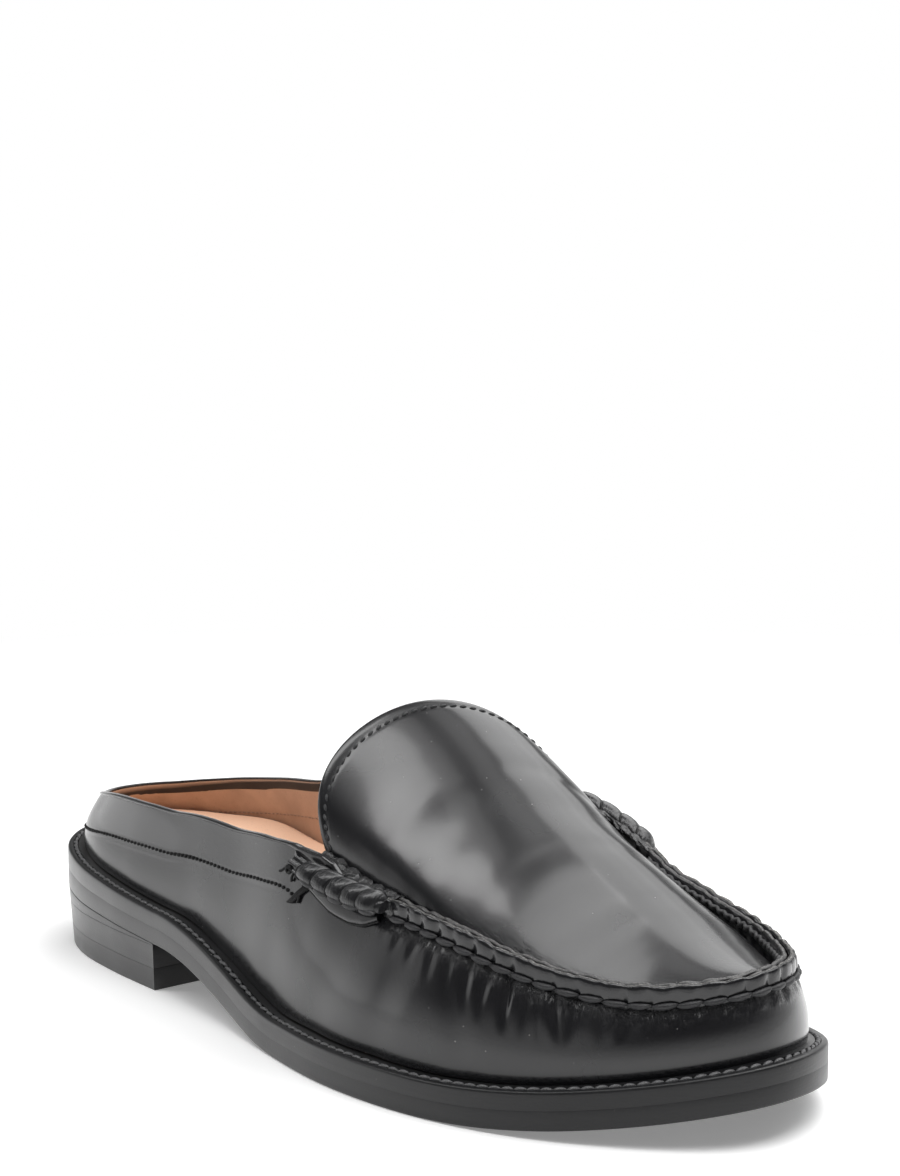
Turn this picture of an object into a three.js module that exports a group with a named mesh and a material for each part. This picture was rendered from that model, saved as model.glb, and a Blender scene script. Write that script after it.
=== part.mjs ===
// A flat moccasin-toe mule, right foot, standing on its low block heel and its forepart.
// Millimetres. Before the group is placed, x runs from the back of the heel to the toe,
// y runs from the outer (lateral) side to the inner (medial) side, and z runs up from the floor.
import * as THREE from 'three';
import { mergeVertices } from 'three/addons/utils/BufferGeometryUtils.js';

// Driving sizes of the sole's outline
const soleLength = 264;
const ballWidth = 97;
const waistWidth = 65.3;
const heelWidth = 66;
const toeDrift = 6.8;

// Driving sizes of the heel and of the sole's profile
const heelLength = 76;
const heelHeight = 17.4;
const seatDrop = 4.3;
const topPieceHeight = 5.8;
const liftHeight = 6.3;
const heelTaper = 1.2;
const shankEnd = 144;
const springStart = 196;
const toeSpring = 9.3;
const outsoleThickness = 4.4;
const weltThickness = 4.3;
const seatThickening = 3.4;

// Driving sizes of the welt, the insole and the leather
const weltWidth = 4.8;
const weltReach = 11.5;
const channelInset = 2.3;
const channelWidth = 1.5;
const channelDepth = 0.8;
const edgeBevel = 0.6;
const padRise = 5.5;
const padRound = 1.2;
const archLift = 6.5;
const archPlace = { middle: 0.41, spread: 0.12 };
const cupDepth = 1.2;
const leather = 1.8;
const apronLeather = 1.6;
const gap = 0.3;

// Driving sizes of the upper
const sideHeight = 50;
const instepCrown = 33.5;
const tongueSweep = 15.5;
const ridgeHeight = 4.6;
const ridgeLayer = 1.7;
const collarLip = 0.8;
const rollWidth = 7.6;
const rollHeight = 5;
const crownSkew = 1.05;
const sweepSkew = 0.75;
const sweepPower = 0.4;
const rollSink = { lateral: 4.6, medial: 0.4 };
const rollShift = { lateral: 3.2, medial: 0.6 };
const rollLoops = 5;
const rollWaist = 0.8;
const rollEndCut = 0.16;
const seamBlend = 0.06;
const lowBend = 0.36;
const highBend = 0.3;

// Where the seam's parts start, as shares of the sole's length
const tongueCorner = { lateral: 0.557, medial: 0.634 };
const rollFront = { lateral: 0.662, medial: 0.745 };
const rollBack = { lateral: 0.54, medial: 0.618 };

// Fineness of the surfaces
const rearSteps = 26;
const seamSteps = 22;
const soleSteps = 40;
const heelSteps = 12;
const wallRows = 7;
const apronColumns = 14;
const insoleColumns = 6;
const rollSteps = 30;
const edgeStep = 0.01;
const mergeDistance = 2e-3;

// Sole outline: half widths on each side of the centre line, as shares of the named width.
const outlineRows = [
  { at: 0.0, width: heelWidth, lateral: 0.0, medial: 0.0 },
  { at: 0.04, width: heelWidth, lateral: 0.309, medial: 0.32 },
  { at: 0.11, width: heelWidth, lateral: 0.445, medial: 0.456 },
  { at: 0.2, width: heelWidth, lateral: 0.505, medial: 0.494 },
  { at: 0.3, width: heelWidth, lateral: 0.533, medial: 0.461 },
  { at: 0.42, width: waistWidth, lateral: 0.588, medial: 0.412 },
  { at: 0.52, width: ballWidth, lateral: 0.445, medial: 0.309 },
  { at: 0.62, width: ballWidth, lateral: 0.485, medial: 0.411 },
  { at: 0.71, width: ballWidth, lateral: 0.48, medial: 0.503 },
  { at: 0.79, width: ballWidth, lateral: 0.435, medial: 0.527 },
  { at: 0.86, width: ballWidth, lateral: 0.355, medial: 0.495 },
  { at: 0.92, width: ballWidth, lateral: 0.247, medial: 0.411 },
  { at: 0.97, width: ballWidth, lateral: 0.12, medial: 0.288 },
];

// Top line of the side wall: the collar behind the tongue's corners, the seam in front of them.
// Insets from the sole's edge are shares of the ball width, rises over the sole's top are
// shares of the side height.
const rimRows = [
  { at: 0.0, lateralInset: 0.108, medialInset: 0.108, lateralRise: 0.224, medialRise: 0.224 },
  { at: 0.03, lateralInset: 0.106, medialInset: 0.106, lateralRise: 0.254, medialRise: 0.25 },
  { at: 0.08, lateralInset: 0.095, medialInset: 0.099, lateralRise: 0.322, medialRise: 0.305 },
  { at: 0.15, lateralInset: 0.087, medialInset: 0.097, lateralRise: 0.408, medialRise: 0.392 },
  { at: 0.23, lateralInset: 0.082, medialInset: 0.097, lateralRise: 0.468, medialRise: 0.486 },
  { at: 0.31, lateralInset: 0.079, medialInset: 0.077, lateralRise: 0.518, medialRise: 0.566 },
  { at: 0.4, lateralInset: 0.077, medialInset: 0.031, lateralRise: 0.632, medialRise: 0.712 },
  { at: 0.47, lateralInset: 0.079, medialInset: 0.015, lateralRise: 0.766, medialRise: 0.856 },
  { at: 0.52, lateralInset: 0.091, medialInset: 0.023, lateralRise: 0.814, medialRise: 0.918 },
  { at: 0.56, lateralInset: 0.115, medialInset: 0.043, lateralRise: 0.72, medialRise: 0.93 },
  { at: 0.6, lateralInset: 0.132, medialInset: 0.072, lateralRise: 0.652, medialRise: 0.926 },
  { at: 0.64, lateralInset: 0.139, medialInset: 0.105, lateralRise: 0.62, medialRise: 0.89 },
  { at: 0.68, lateralInset: 0.14, medialInset: 0.126, lateralRise: 0.606, medialRise: 0.8 },
  { at: 0.72, lateralInset: 0.134, medialInset: 0.138, lateralRise: 0.586, medialRise: 0.702 },
  { at: 0.76, lateralInset: 0.124, medialInset: 0.138, lateralRise: 0.554, medialRise: 0.61 },
  { at: 0.8, lateralInset: 0.113, medialInset: 0.13, lateralRise: 0.502, medialRise: 0.546 },
  { at: 0.84, lateralInset: 0.103, medialInset: 0.116, lateralRise: 0.44, medialRise: 0.48 },
  { at: 0.88, lateralInset: 0.095, medialInset: 0.101, lateralRise: 0.376, medialRise: 0.422 },
  { at: 0.92, lateralInset: 0.086, medialInset: 0.087, lateralRise: 0.316, medialRise: 0.356 },
  { at: 0.96, lateralInset: 0.078, medialInset: 0.077, lateralRise: 0.288, medialRise: 0.31 },
  { at: 1.0, lateralInset: 0.074, medialInset: 0.074, lateralRise: 0.28, medialRise: 0.28 },
];

// Fullness of the side wall: how far its foot swells out past the welt line, as a share of the
// ball width, and how much of its lean is held back for the shoulder near the top.
const fullnessRows = [
  { at: 0.0, lateralBelly: 0.004, medialBelly: 0.004, lateralShoulder: 0.8, medialShoulder: 0.8 },
  { at: 0.2, lateralBelly: 0.008, medialBelly: 0.008, lateralShoulder: 0.4, medialShoulder: 0.4 },
  { at: 0.42, lateralBelly: 0.012, medialBelly: 0.0, lateralShoulder: 0.3, medialShoulder: 0.2 },
  { at: 0.58, lateralBelly: 0.014, medialBelly: 0.01, lateralShoulder: 0.55, medialShoulder: 0.5 },
  { at: 0.72, lateralBelly: 0.014, medialBelly: 0.014, lateralShoulder: 0.7, medialShoulder: 0.7 },
  { at: 0.86, lateralBelly: 0.013, medialBelly: 0.013, lateralShoulder: 0.75, medialShoulder: 0.75 },
  { at: 1.0, lateralBelly: 0.012, medialBelly: 0.012, lateralShoulder: 0.75, medialShoulder: 0.75 },
];

// Apron sections from the toe (0) to the tongue's edge (1): height over the chord between the two
// seam points as a share of the instep crown, how far the section sweeps back as a share of the
// tongue sweep, and the powers that shape its two sides: the lower, the squarer the section.
const apronRows = [
  { at: 0.0, crown: 0.0, sweep: 0.0, lateralPower: 0.9, medialPower: 0.9 },
  { at: 0.12, crown: 0.08, sweep: 0.0, lateralPower: 0.9, medialPower: 0.95 },
  { at: 0.3, crown: 0.17, sweep: 0.0, lateralPower: 0.82, medialPower: 1.0 },
  { at: 0.5, crown: 0.32, sweep: 0.02, lateralPower: 0.7, medialPower: 1.0 },
  { at: 0.7, crown: 0.56, sweep: 0.14, lateralPower: 0.54, medialPower: 0.95 },
  { at: 0.85, crown: 0.78, sweep: 0.45, lateralPower: 0.4, medialPower: 0.8 },
  { at: 1.0, crown: 1.0, sweep: 1.0, lateralPower: 0.31, medialPower: 0.46 },
];

// Cross-section of a rolled seam end, round its middle: out is towards the shoe's outside and up
// is over the wall's top line, as shares of the roll's width and height.
const rollSection = [
  { out: -0.2, up: 0.24 },
  { out: -0.27, up: 0.55 },
  { out: -0.12, up: 0.9 },
  { out: 0.14, up: 1.0 },
  { out: 0.42, up: 0.78 },
  { out: 0.6, up: 0.36 },
  { out: 0.62, up: -0.12 },
  { out: 0.42, up: -0.3 },
  { out: 0.12, up: 0.16 },
];

const colours = {
  leather: 0x18181a,
  rubber: 0x1e1e20,
  lift: 0x222224,
  edge: 0x202022,
  sock: 0xd9a180,
};

const clamp = (value, low, high) => Math.min(high, Math.max(low, value));
const mix = (a, b, t) => a + (b - a) * t;
const ease = (t) => clamp(t, 0, 1) ** 2 * (3 - 2 * clamp(t, 0, 1));
const point = (x, y, z) => new THREE.Vector3(x, y, z);

// The place round the shoe is an angle: 0 at the back of the heel, half a turn at the toe, the
// lateral side first and the medial side on the way back.
const turn = 2 * Math.PI;
const angleAt = (side, share) => {
  const angle = Math.acos(1 - 2 * share);
  return side === 'lateral' ? angle : turn - angle;
};
const lengthAt = (angle) => (soleLength * (1 - Math.cos(angle))) / 2;

// A smooth run between two knots, each with a place, a value and a slope.
function smooth(a, b, place) {
  const span = b.place - a.place;
  const t = clamp((place - a.place) / span, 0, 1);
  const keep = 2 * t ** 3 - 3 * t ** 2 + 1;
  const leave = t ** 3 - 2 * t ** 2 + t;
  const arrive = t ** 3 - t ** 2;
  return keep * a.value + (1 - keep) * b.value + span * (leave * a.slope + arrive * b.slope);
}

// A knot with the slope between its two neighbours.
function sloped(knot, before, after) {
  return { ...knot, slope: (after.value - before.value) / (after.place - before.place) };
}

// A smooth closed curve of one value round the shoe, through both columns of a table.
function around(rows, lateralValue, medialValue) {
  const lateral = rows.map((row) => ({ place: angleAt('lateral', row.at), value: lateralValue(row) }));
  const medial = rows
    .filter((row) => row.at > 0 && row.at < 1)
    .map((row) => ({ place: angleAt('medial', row.at), value: medialValue(row) }))
    .reverse();
  const knots = [...lateral, ...medial];
  const count = knots.length;
  const plain = (i) => {
    const { place, value } = knots[((i % count) + count) % count];
    return { place: place + turn * Math.floor(i / count), value };
  };
  const knot = (i) => sloped(plain(i), plain(i - 1), plain(i + 1));
  return (angle) => {
    const place = ((angle % turn) + turn) % turn;
    const i = Math.max(knots.findLastIndex((entry) => entry.place <= place), 0);
    return smooth(knot(i), knot(i + 1), place);
  };
}

// The same for one column of a table over its own share.
function along(rows, column) {
  const last = rows.length - 1;
  const plain = (i) => {
    const { at, [column]: value } = rows[clamp(i, 0, last)];
    return { place: at, value };
  };
  const knot = (i) => sloped(plain(i), plain(i - 1), plain(i + 1));
  return (share) => {
    const i = clamp(rows.findLastIndex((entry) => entry.at <= share), 0, last - 1);
    return smooth(knot(i), knot(i + 1), share);
  };
}

const toeRow = { at: 1, width: 1, lateral: -toeDrift, medial: toeDrift };
const outlineY = around(
  [...outlineRows, toeRow],
  (row) => -row.lateral * row.width,
  (row) => row.medial * row.width,
);
const rimInset = around(
  rimRows,
  (row) => row.lateralInset * ballWidth,
  (row) => row.medialInset * ballWidth,
);
const rimRise = around(
  rimRows,
  (row) => row.lateralRise * sideHeight,
  (row) => row.medialRise * sideHeight,
);
const belly = around(
  fullnessRows,
  (row) => row.lateralBelly * ballWidth,
  (row) => row.medialBelly * ballWidth,
);
const shoulder = around(fullnessRows, (row) => row.lateralShoulder, (row) => row.medialShoulder);
const crownShare = along(apronRows, 'crown');
const sweepShare = along(apronRows, 'sweep');
const lateralPower = along(apronRows, 'lateralPower');
const medialPower = along(apronRows, 'medialPower');

// The sole's edge at an angle, moved in across the edge.
function edgeAt(angle, inset) {
  const before = point(lengthAt(angle - edgeStep), outlineY(angle - edgeStep), 0);
  const after = point(lengthAt(angle + edgeStep), outlineY(angle + edgeStep), 0);
  const run = after.sub(before).normalize();
  return point(lengthAt(angle) - run.y * inset, outlineY(angle) + run.x * inset, 0);
}

// Underside of the sole over the floor: the heel's seat, the shank's fall, the tread and the
// toe spring.
function underside(x) {
  const seat = (place) => heelHeight - (seatDrop * place) / heelLength;
  if (x <= heelLength) return seat(x);
  if (x < shankEnd) {
    const fall = (x - heelLength) / (shankEnd - heelLength);
    return (seat(heelLength) * (1 + Math.cos(Math.PI * fall))) / 2;
  }
  if (x <= springStart) return 0;
  return toeSpring * ((x - springStart) / (soleLength - springStart)) ** 2;
}

const thickening = (x) => (seatThickening / 2) * clamp(1 - x / heelLength, 0, 1) ** 1.5;
const outsoleTop = (x) => underside(x) + outsoleThickness + thickening(x);
const weltBase = (x) => outsoleTop(x) + gap;
const weltTop = (x) => weltBase(x) + weltThickness + thickening(x);

// Faces collected as loose corners, then merged into one closed body.
class Skin {
  constructor() {
    this.corners = [];
  }

  triangle(a, b, c) {
    this.corners.push(a, b, c);
  }

  quad(a, b, c, d) {
    this.triangle(a, b, c);
    this.triangle(a, c, d);
  }

  // Faces between two closed rows of points, the second one lying further up or further in.
  band(lower, upper) {
    lower.forEach((start, k) => {
      const next = (k + 1) % lower.length;
      this.quad(start, lower[next], upper[next], upper[k]);
    });
  }

  // Faces over a grid of points, seen from above with its rows running to the toe.
  sheet(grid, facesUp) {
    for (let i = 0; i + 1 < grid.length; i += 1) {
      for (let c = 0; c + 1 < grid[i].length; c += 1) {
        const corners = [grid[i][c], grid[i + 1][c], grid[i + 1][c + 1], grid[i][c + 1]];
        if (!facesUp) corners.reverse();
        this.quad(...corners);
      }
    }
  }

  geometry() {
    const loose = new THREE.BufferGeometry().setFromPoints(this.corners);
    const merged = mergeVertices(loose, mergeDistance);
    const source = merged.index.array;
    const kept = [];
    for (let i = 0; i < source.length; i += 3) {
      const [a, b, c] = [source[i], source[i + 1], source[i + 2]];
      if (a !== b && b !== c && c !== a) kept.push(a, b, c);
    }
    merged.setIndex(kept);
    merged.computeVertexNormals();
    return merged;
  }
}

// Angles round a shoe whose two sides are cut at their own places, with the pairs of points that
// face each other across it.
function stations(parts) {
  const count = parts.reduce((sum, part) => sum + part.steps, 0);
  const side = (name) => {
    const angles = [];
    parts.forEach((part) => {
      const from = angleAt(name, part.from[name]);
      const to = angleAt(name, part.to[name]);
      for (let i = 0; i < part.steps; i += 1) angles.push(mix(from, to, i / part.steps));
    });
    angles.push(angleAt(name, parts.at(-1).to[name]));
    return angles;
  };
  const lateral = side('lateral');
  const medial = side('medial');
  const closedHeel = parts[0].from.lateral === 0;
  const closedToe = parts.at(-1).to.lateral === 1;
  const loop = [...lateral];
  const firstMedial = closedToe ? count - 1 : count;
  const lastMedial = closedHeel ? 1 : 0;
  for (let i = firstMedial; i >= lastMedial; i -= 1) loop.push(medial[i]);
  const partner = (i) => (closedToe && i === count) || (closedHeel && i === 0)
    ? i
    : count + 1 + firstMedial - i;
  const pairs = lateral.map((angle, i) => [i, partner(i)]);
  return { loop, pairs };
}

const whole = { lateral: 1, medial: 1 };
const none = { lateral: 0, medial: 0 };
const soleStations = stations([{ from: none, to: whole, steps: soleSteps }]);
const breastShare = { lateral: heelLength / soleLength, medial: heelLength / soleLength };
const heelStations = stations([{ from: none, to: breastShare, steps: heelSteps }]);
const upperStations = stations([
  { from: none, to: tongueCorner, steps: rearSteps },
  { from: tongueCorner, to: whole, steps: seamSteps },
]);
const seamStations = stations([{ from: tongueCorner, to: whole, steps: seamSteps }]);

// A closed row of points at an inset from the sole's edge and at a height that may follow x.
function row(loop, inset, height) {
  return loop.map((angle) => {
    const place = edgeAt(angle, typeof inset === 'function' ? inset(angle) : inset);
    place.z = typeof height === 'function' ? height(place.x, angle) : height;
    return place;
  });
}

// Points across the shoe between the pairs of a row, lifted by a function of the pair and of the
// share of the way across.
function across(points, pairs, columns, lift = () => 0) {
  return pairs.map(([a, b], i) => {
    const line = [];
    for (let c = 0; c <= columns; c += 1) {
      const share = (1 - Math.cos((Math.PI * c) / columns)) / 2;
      const place = points[a].clone().lerp(points[b], share);
      if (c > 0 && c < columns && a !== b) place.z += lift(place, share, i);
      line.push(place);
    }
    return line;
  });
}

// A solid slab through rows of points, the lowest first, whose top may be lifted between them.
function slab(rows, pairs, columns = 1, lift = undefined) {
  const skin = new Skin();
  skin.sheet(across(rows[0], pairs, 1), false);
  for (let i = 0; i + 1 < rows.length; i += 1) skin.band(rows[i], rows[i + 1]);
  skin.sheet(across(rows.at(-1), pairs, columns, lift), true);
  return skin.geometry();
}

// A ring through rows of points that go up its outside, over its top and back under it.
function ring(rows) {
  const skin = new Skin();
  rows.forEach((points, i) => skin.band(points, rows[(i + 1) % rows.length]));
  return skin.geometry();
}

function outsole() {
  const { loop, pairs } = soleStations;
  return slab([
    row(loop, edgeBevel, underside),
    row(loop, 0, (x) => underside(x) + edgeBevel),
    row(loop, 0, (x) => outsoleTop(x) - edgeBevel / 2),
    row(loop, edgeBevel / 2, outsoleTop),
  ], pairs);
}

function welt() {
  const { loop } = soleStations;
  return ring([
    row(loop, edgeBevel / 2, weltBase),
    row(loop, 0, (x) => weltBase(x) + edgeBevel / 2),
    row(loop, 0, (x) => weltTop(x) - edgeBevel),
    row(loop, edgeBevel, weltTop),
    row(loop, channelInset - channelWidth / 2, weltTop),
    row(loop, channelInset, (x) => weltTop(x) - channelDepth),
    row(loop, channelInset + channelWidth / 2, weltTop),
    row(loop, weltReach, weltTop),
    row(loop, weltReach, weltBase),
  ]);
}

// One layer of the heel, cut straight across at its breast and tapered towards the floor.
function heelLayer(bottom, top) {
  const { loop, pairs } = heelStations;
  const taper = (height) => heelTaper * (1 - height / heelHeight);
  const layerRow = (height, offset, bevel) => {
    const points = row(loop, 0, (x) => height(x) + offset);
    return points.map((place, k) => {
      const inset = taper(place.z) + bevel;
      const moved = edgeAt(loop[k], inset);
      moved.x = Math.min(moved.x, heelLength - inset);
      moved.z = place.z;
      return moved;
    });
  };
  const bevel = edgeBevel / 2;
  return slab([
    layerRow(bottom, 0, bevel),
    layerRow(bottom, bevel, 0),
    layerRow(top, -bevel, 0),
    layerRow(top, 0, bevel),
  ], pairs);
}

const liftBase = topPieceHeight + gap;
const wedgeBase = liftBase + liftHeight + gap;
const topPiece = () => heelLayer(() => 0, () => topPieceHeight);
const lift = () => heelLayer(() => liftBase, () => liftBase + liftHeight);
const wedge = () => heelLayer(() => wedgeBase, (x) => underside(x) - gap);

// Insole: filler inside the welt, then a padded bed that meets the upper's inner face and rises
// to the arch.
function insole() {
  const { loop, pairs } = soleStations;
  const bedBase = (x) => weltTop(x) + gap;
  const padTop = (x, angle) => bedBase(x) + padRise + archLift * archShare(x, angle);
  const padSide = (x, angle) => padTop(x, angle) - padRound;
  const bed = (height, extra) => (angle) => (
    insetInside(angle, height(lengthAt(angle), angle)) + gap + extra
  );
  const rows = [
    row(loop, weltReach + gap, weltBase),
    row(loop, weltReach + gap, bedBase),
    row(loop, bed(bedBase, 0), bedBase),
    row(loop, bed(padSide, 0), padSide),
    row(loop, bed(padTop, padRound), padTop),
  ];
  return slab(rows, pairs, insoleColumns, (place, share) => -cupDepth * Math.sin(Math.PI * share));
}

// The arch support: a swelling of the insole's inner side, highest at the waist.
function archShare(x, angle) {
  if (angle <= Math.PI) return 0;
  return Math.exp(-(((x / soleLength - archPlace.middle) / archPlace.spread) ** 2));
}

// How much of the raised seam stands at an angle: none along the collar and under the rolls.
function seamShare(angle) {
  const start = angleAt('lateral', rollFront.lateral);
  const end = angleAt('medial', rollFront.medial);
  return ease((angle - start) / seamBlend) * ease((end - angle) / seamBlend);
}

const standing = (angle) => mix(collarLip, ridgeHeight, seamShare(angle));
const rimHeight = (angle) => weltTop(lengthAt(angle)) + rimRise(angle);

// The side wall's outer face at one place round the shoe, from the welt up to the rim, as pairs
// of inset and height.
function wallProfile(angle) {
  const foot = { inset: weltWidth, z: 0 };
  const rim = { inset: rimInset(angle), z: rimHeight(angle) };
  foot.z = weltTop(edgeAt(angle, weltWidth).x) + gap;
  const height = rim.z - foot.z;
  const lean = rim.inset - foot.inset;
  const low = { inset: foot.inset - belly(angle), z: foot.z + lowBend * height };
  const high = { inset: rim.inset - lean * shoulder(angle), z: rim.z - highBend * height };
  const at = (t) => {
    const u = 1 - t;
    const blend = (key) => u ** 3 * foot[key] + 3 * u * u * t * low[key]
      + 3 * u * t * t * high[key] + t ** 3 * rim[key];
    return { inset: blend('inset'), z: blend('z') };
  };
  return Array.from({ length: wallRows }, (unused, k) => at(k / (wallRows - 1)));
}

// The wall's inner face, one leather thickness in from the outer one.
function innerProfile(outer) {
  return outer.map((place, k) => {
    if (k === 0) return { inset: place.inset + leather, z: place.z };
    const before = outer[k - 1];
    const after = outer[Math.min(k + 1, outer.length - 1)];
    const run = Math.hypot(after.inset - before.inset, after.z - before.z);
    const normal = { inset: (after.z - before.z) / run, z: (before.inset - after.inset) / run };
    return { inset: place.inset + leather * normal.inset, z: place.z + leather * normal.z };
  });
}

// Inset of the wall's inner face at an angle and a height.
function insetInside(angle, height) {
  const inner = innerProfile(wallProfile(angle));
  const k = clamp(inner.findLastIndex((place) => place.z <= height), 0, inner.length - 2);
  const [a, b] = [inner[k], inner[k + 1]];
  return mix(a.inset, b.inset, clamp((height - a.z) / (b.z - a.z), 0, 1));
}

// Upper: one wall round the foot, its top edge turned up as the outer half of the raised seam.
function upper() {
  const { loop } = upperStations;
  const profiles = loop.map((angle) => {
    const outer = wallProfile(angle);
    const inner = innerProfile(outer);
    const rim = outer.at(-1);
    const top = rim.z + standing(angle);
    const ridge = [{ inset: rim.inset, z: top }, { inset: rim.inset + ridgeLayer, z: top }];
    return [...outer, ...ridge, ...inner.reverse()];
  });
  const rows = profiles[0].map((unused, k) => loop.map((angle, i) => {
    const place = edgeAt(angle, profiles[i][k].inset);
    place.z = profiles[i][k].z;
    return place;
  }));
  return ring(rows);
}

// Shape of an apron section between its two seam points: full at the sides, highest a little
// towards the medial side.
const crownShape = (share, run) => (
  Math.sin(Math.PI * share ** crownSkew) ** mix(lateralPower(run), medialPower(run), share)
);
const sweepShape = (share) => Math.sin(Math.PI * share ** sweepSkew) ** sweepPower;

// Apron: the plug and the tongue in one piece, its own edge turned up inside the upper's.
function apron() {
  const { loop, pairs } = seamStations;
  const seamInset = (extra) => (angle) => rimInset(angle) + ridgeLayer + gap + extra;
  const rise = (angle) => ridgeHeight * seamShare(angle);
  const under = row(loop, seamInset(0), (x, angle) => rimHeight(angle) - apronLeather);
  const crestOut = row(loop, seamInset(0), (x, angle) => rimHeight(angle) + rise(angle));
  const crestIn = row(loop, seamInset(ridgeLayer), (x, angle) => rimHeight(angle) + rise(angle));
  const base = row(loop, seamInset(ridgeLayer), (x, angle) => rimHeight(angle));
  const last = pairs.length - 1;
  const top = across(base, pairs, apronColumns, (place, share, i) => {
    const run = 1 - i / last;
    place.x -= tongueSweep * sweepShare(run) * sweepShape(share);
    return instepCrown * crownShare(run) * crownShape(share, run);
  });
  const bottom = thicken(top, under, pairs);
  const rear = (grid) => grid[0].slice(1, -1).reverse();
  const skin = new Skin();
  const rows = [
    [...under, ...rear(bottom)],
    [...crestOut, ...rear(top)],
    [...crestIn, ...rear(top)],
    [...base, ...rear(top)],
  ];
  for (let i = 0; i + 1 < rows.length; i += 1) skin.band(rows[i], rows[i + 1]);
  skin.sheet(bottom, false);
  skin.sheet(top, true);
  return skin.geometry();
}

// The underside of a grid, one leather thickness below it, with its sides at given points.
function thicken(grid, sides, pairs) {
  const lastRow = grid.length - 1;
  const lastColumn = grid[0].length - 1;
  return grid.map((line, i) => line.map((place, c) => {
    if (c === 0 || i === lastRow) return sides[pairs[i][0]].clone();
    if (c === lastColumn) return sides[pairs[i][1]].clone();
    const forward = grid[i + 1][c].clone().sub(grid[Math.max(i - 1, 0)][c]);
    const sideways = line[c + 1].clone().sub(line[c - 1]);
    const normal = forward.cross(sideways).normalize();
    return place.clone().addScaledVector(normal, -apronLeather);
  }));
}

// Rolled end of the seam on one side: fat loops that drape over the wall's top line, lowest and
// furthest out at the back.
function roll(side) {
  const from = angleAt(side, rollBack[side]);
  const to = angleAt(side, rollFront[side]);
  const rings = [];
  for (let i = 0; i <= rollSteps; i += 1) {
    const share = i / rollSteps;
    const angle = mix(from, to, share);
    const bulge = mix(rollWaist, 1, Math.abs(Math.sin(Math.PI * rollLoops * share)));
    const ends = Math.sin(Math.PI * mix(rollEndCut, 1 - rollEndCut, share)) ** 0.5;
    const shift = rollShift[side] * (1 - share) ** 0.8;
    const sink = rollSink[side] * (1 - share) ** 3;
    const base = rimHeight(angle) + collarLip + gap - sink;
    const points = rollSection.map(({ out, up }) => {
      const place = edgeAt(angle, rimInset(angle) - out * rollWidth * bulge * ends - shift);
      place.z = base + up * rollHeight * bulge * ends;
      return place;
    });
    rings.push(side === 'lateral' ? points : points.reverse());
  }
  const skin = new Skin();
  for (let i = 0; i + 1 < rings.length; i += 1) skin.band(rings[i], rings[i + 1]);
  closeEnd(skin, rings[0], true);
  closeEnd(skin, rings.at(-1), false);
  return skin.geometry();
}

// Faces from the middle of an end ring to its points.
function closeEnd(skin, points, first) {
  const middle = points.reduce((sum, place) => sum.add(place), point(0, 0, 0));
  middle.divideScalar(points.length);
  points.forEach((start, k) => {
    const end = points[(k + 1) % points.length];
    if (first) skin.triangle(middle, end, start);
    else skin.triangle(middle, start, end);
  });
}

const pieces = [
  { name: 'heel_top_piece', shape: topPiece, color: colours.rubber, roughness: 0.6 },
  { name: 'heel_lift', shape: lift, color: colours.lift, roughness: 0.45 },
  { name: 'heel_wedge', shape: wedge, color: colours.lift, roughness: 0.45 },
  { name: 'outsole', shape: outsole, color: colours.edge, roughness: 0.5 },
  { name: 'welt', shape: welt, color: colours.edge, roughness: 0.5 },
  { name: 'insole', shape: insole, color: colours.sock, roughness: 0.6 },
  { name: 'upper', shape: upper, color: colours.leather, roughness: 0.25 },
  { name: 'apron', shape: apron, color: colours.leather, roughness: 0.25 },
  { name: 'roll_lateral', shape: () => roll('lateral'), color: colours.leather, roughness: 0.35 },
  { name: 'roll_medial', shape: () => roll('medial'), color: colours.leather, roughness: 0.35 },
];

const group = new THREE.Group();
pieces.forEach(({ name, shape, color, roughness }) => {
  const material = new THREE.MeshStandardMaterial({ color, roughness, metalness: 0 });
  const mesh = new THREE.Mesh(shape(), material);
  mesh.name = name;
  group.add(mesh);
});

// The part's origin is on the floor, under the middle of the sole's length and width.
const widths = soleStations.loop.map((angle) => outlineY(angle));
const middleY = (Math.min(...widths) + Math.max(...widths)) / 2;
group.position.set(-soleLength / 2, -middleY, 0);

export default group;
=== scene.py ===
"""Finishes a packed moccasin-toe mule: leather, raised seam, rolls, welt, sole and studio."""

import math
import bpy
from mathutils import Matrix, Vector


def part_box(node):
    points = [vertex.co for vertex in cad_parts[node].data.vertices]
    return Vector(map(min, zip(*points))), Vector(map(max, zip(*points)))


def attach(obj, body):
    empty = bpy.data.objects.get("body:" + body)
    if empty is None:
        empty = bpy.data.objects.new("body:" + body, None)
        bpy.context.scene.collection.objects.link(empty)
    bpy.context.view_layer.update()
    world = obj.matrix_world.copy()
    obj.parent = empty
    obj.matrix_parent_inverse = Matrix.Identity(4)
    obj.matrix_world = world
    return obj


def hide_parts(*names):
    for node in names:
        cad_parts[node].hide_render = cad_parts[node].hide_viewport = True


bl_info = {
    "name": "Moccasin Mule Finish",
    "version": (1, 0, 0),
    "blender": (4, 5, 0),
    "location": "3D Viewport > Sidebar > Mule",
    "description": "Builds the leather, seams, rolls, welt, sole and studio of a flat mule",
    "category": "Object",
}

import bmesh
import bpy
import numpy as np
from bpy.props import FloatProperty, FloatVectorProperty, PointerProperty
from mathutils import Matrix

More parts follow.
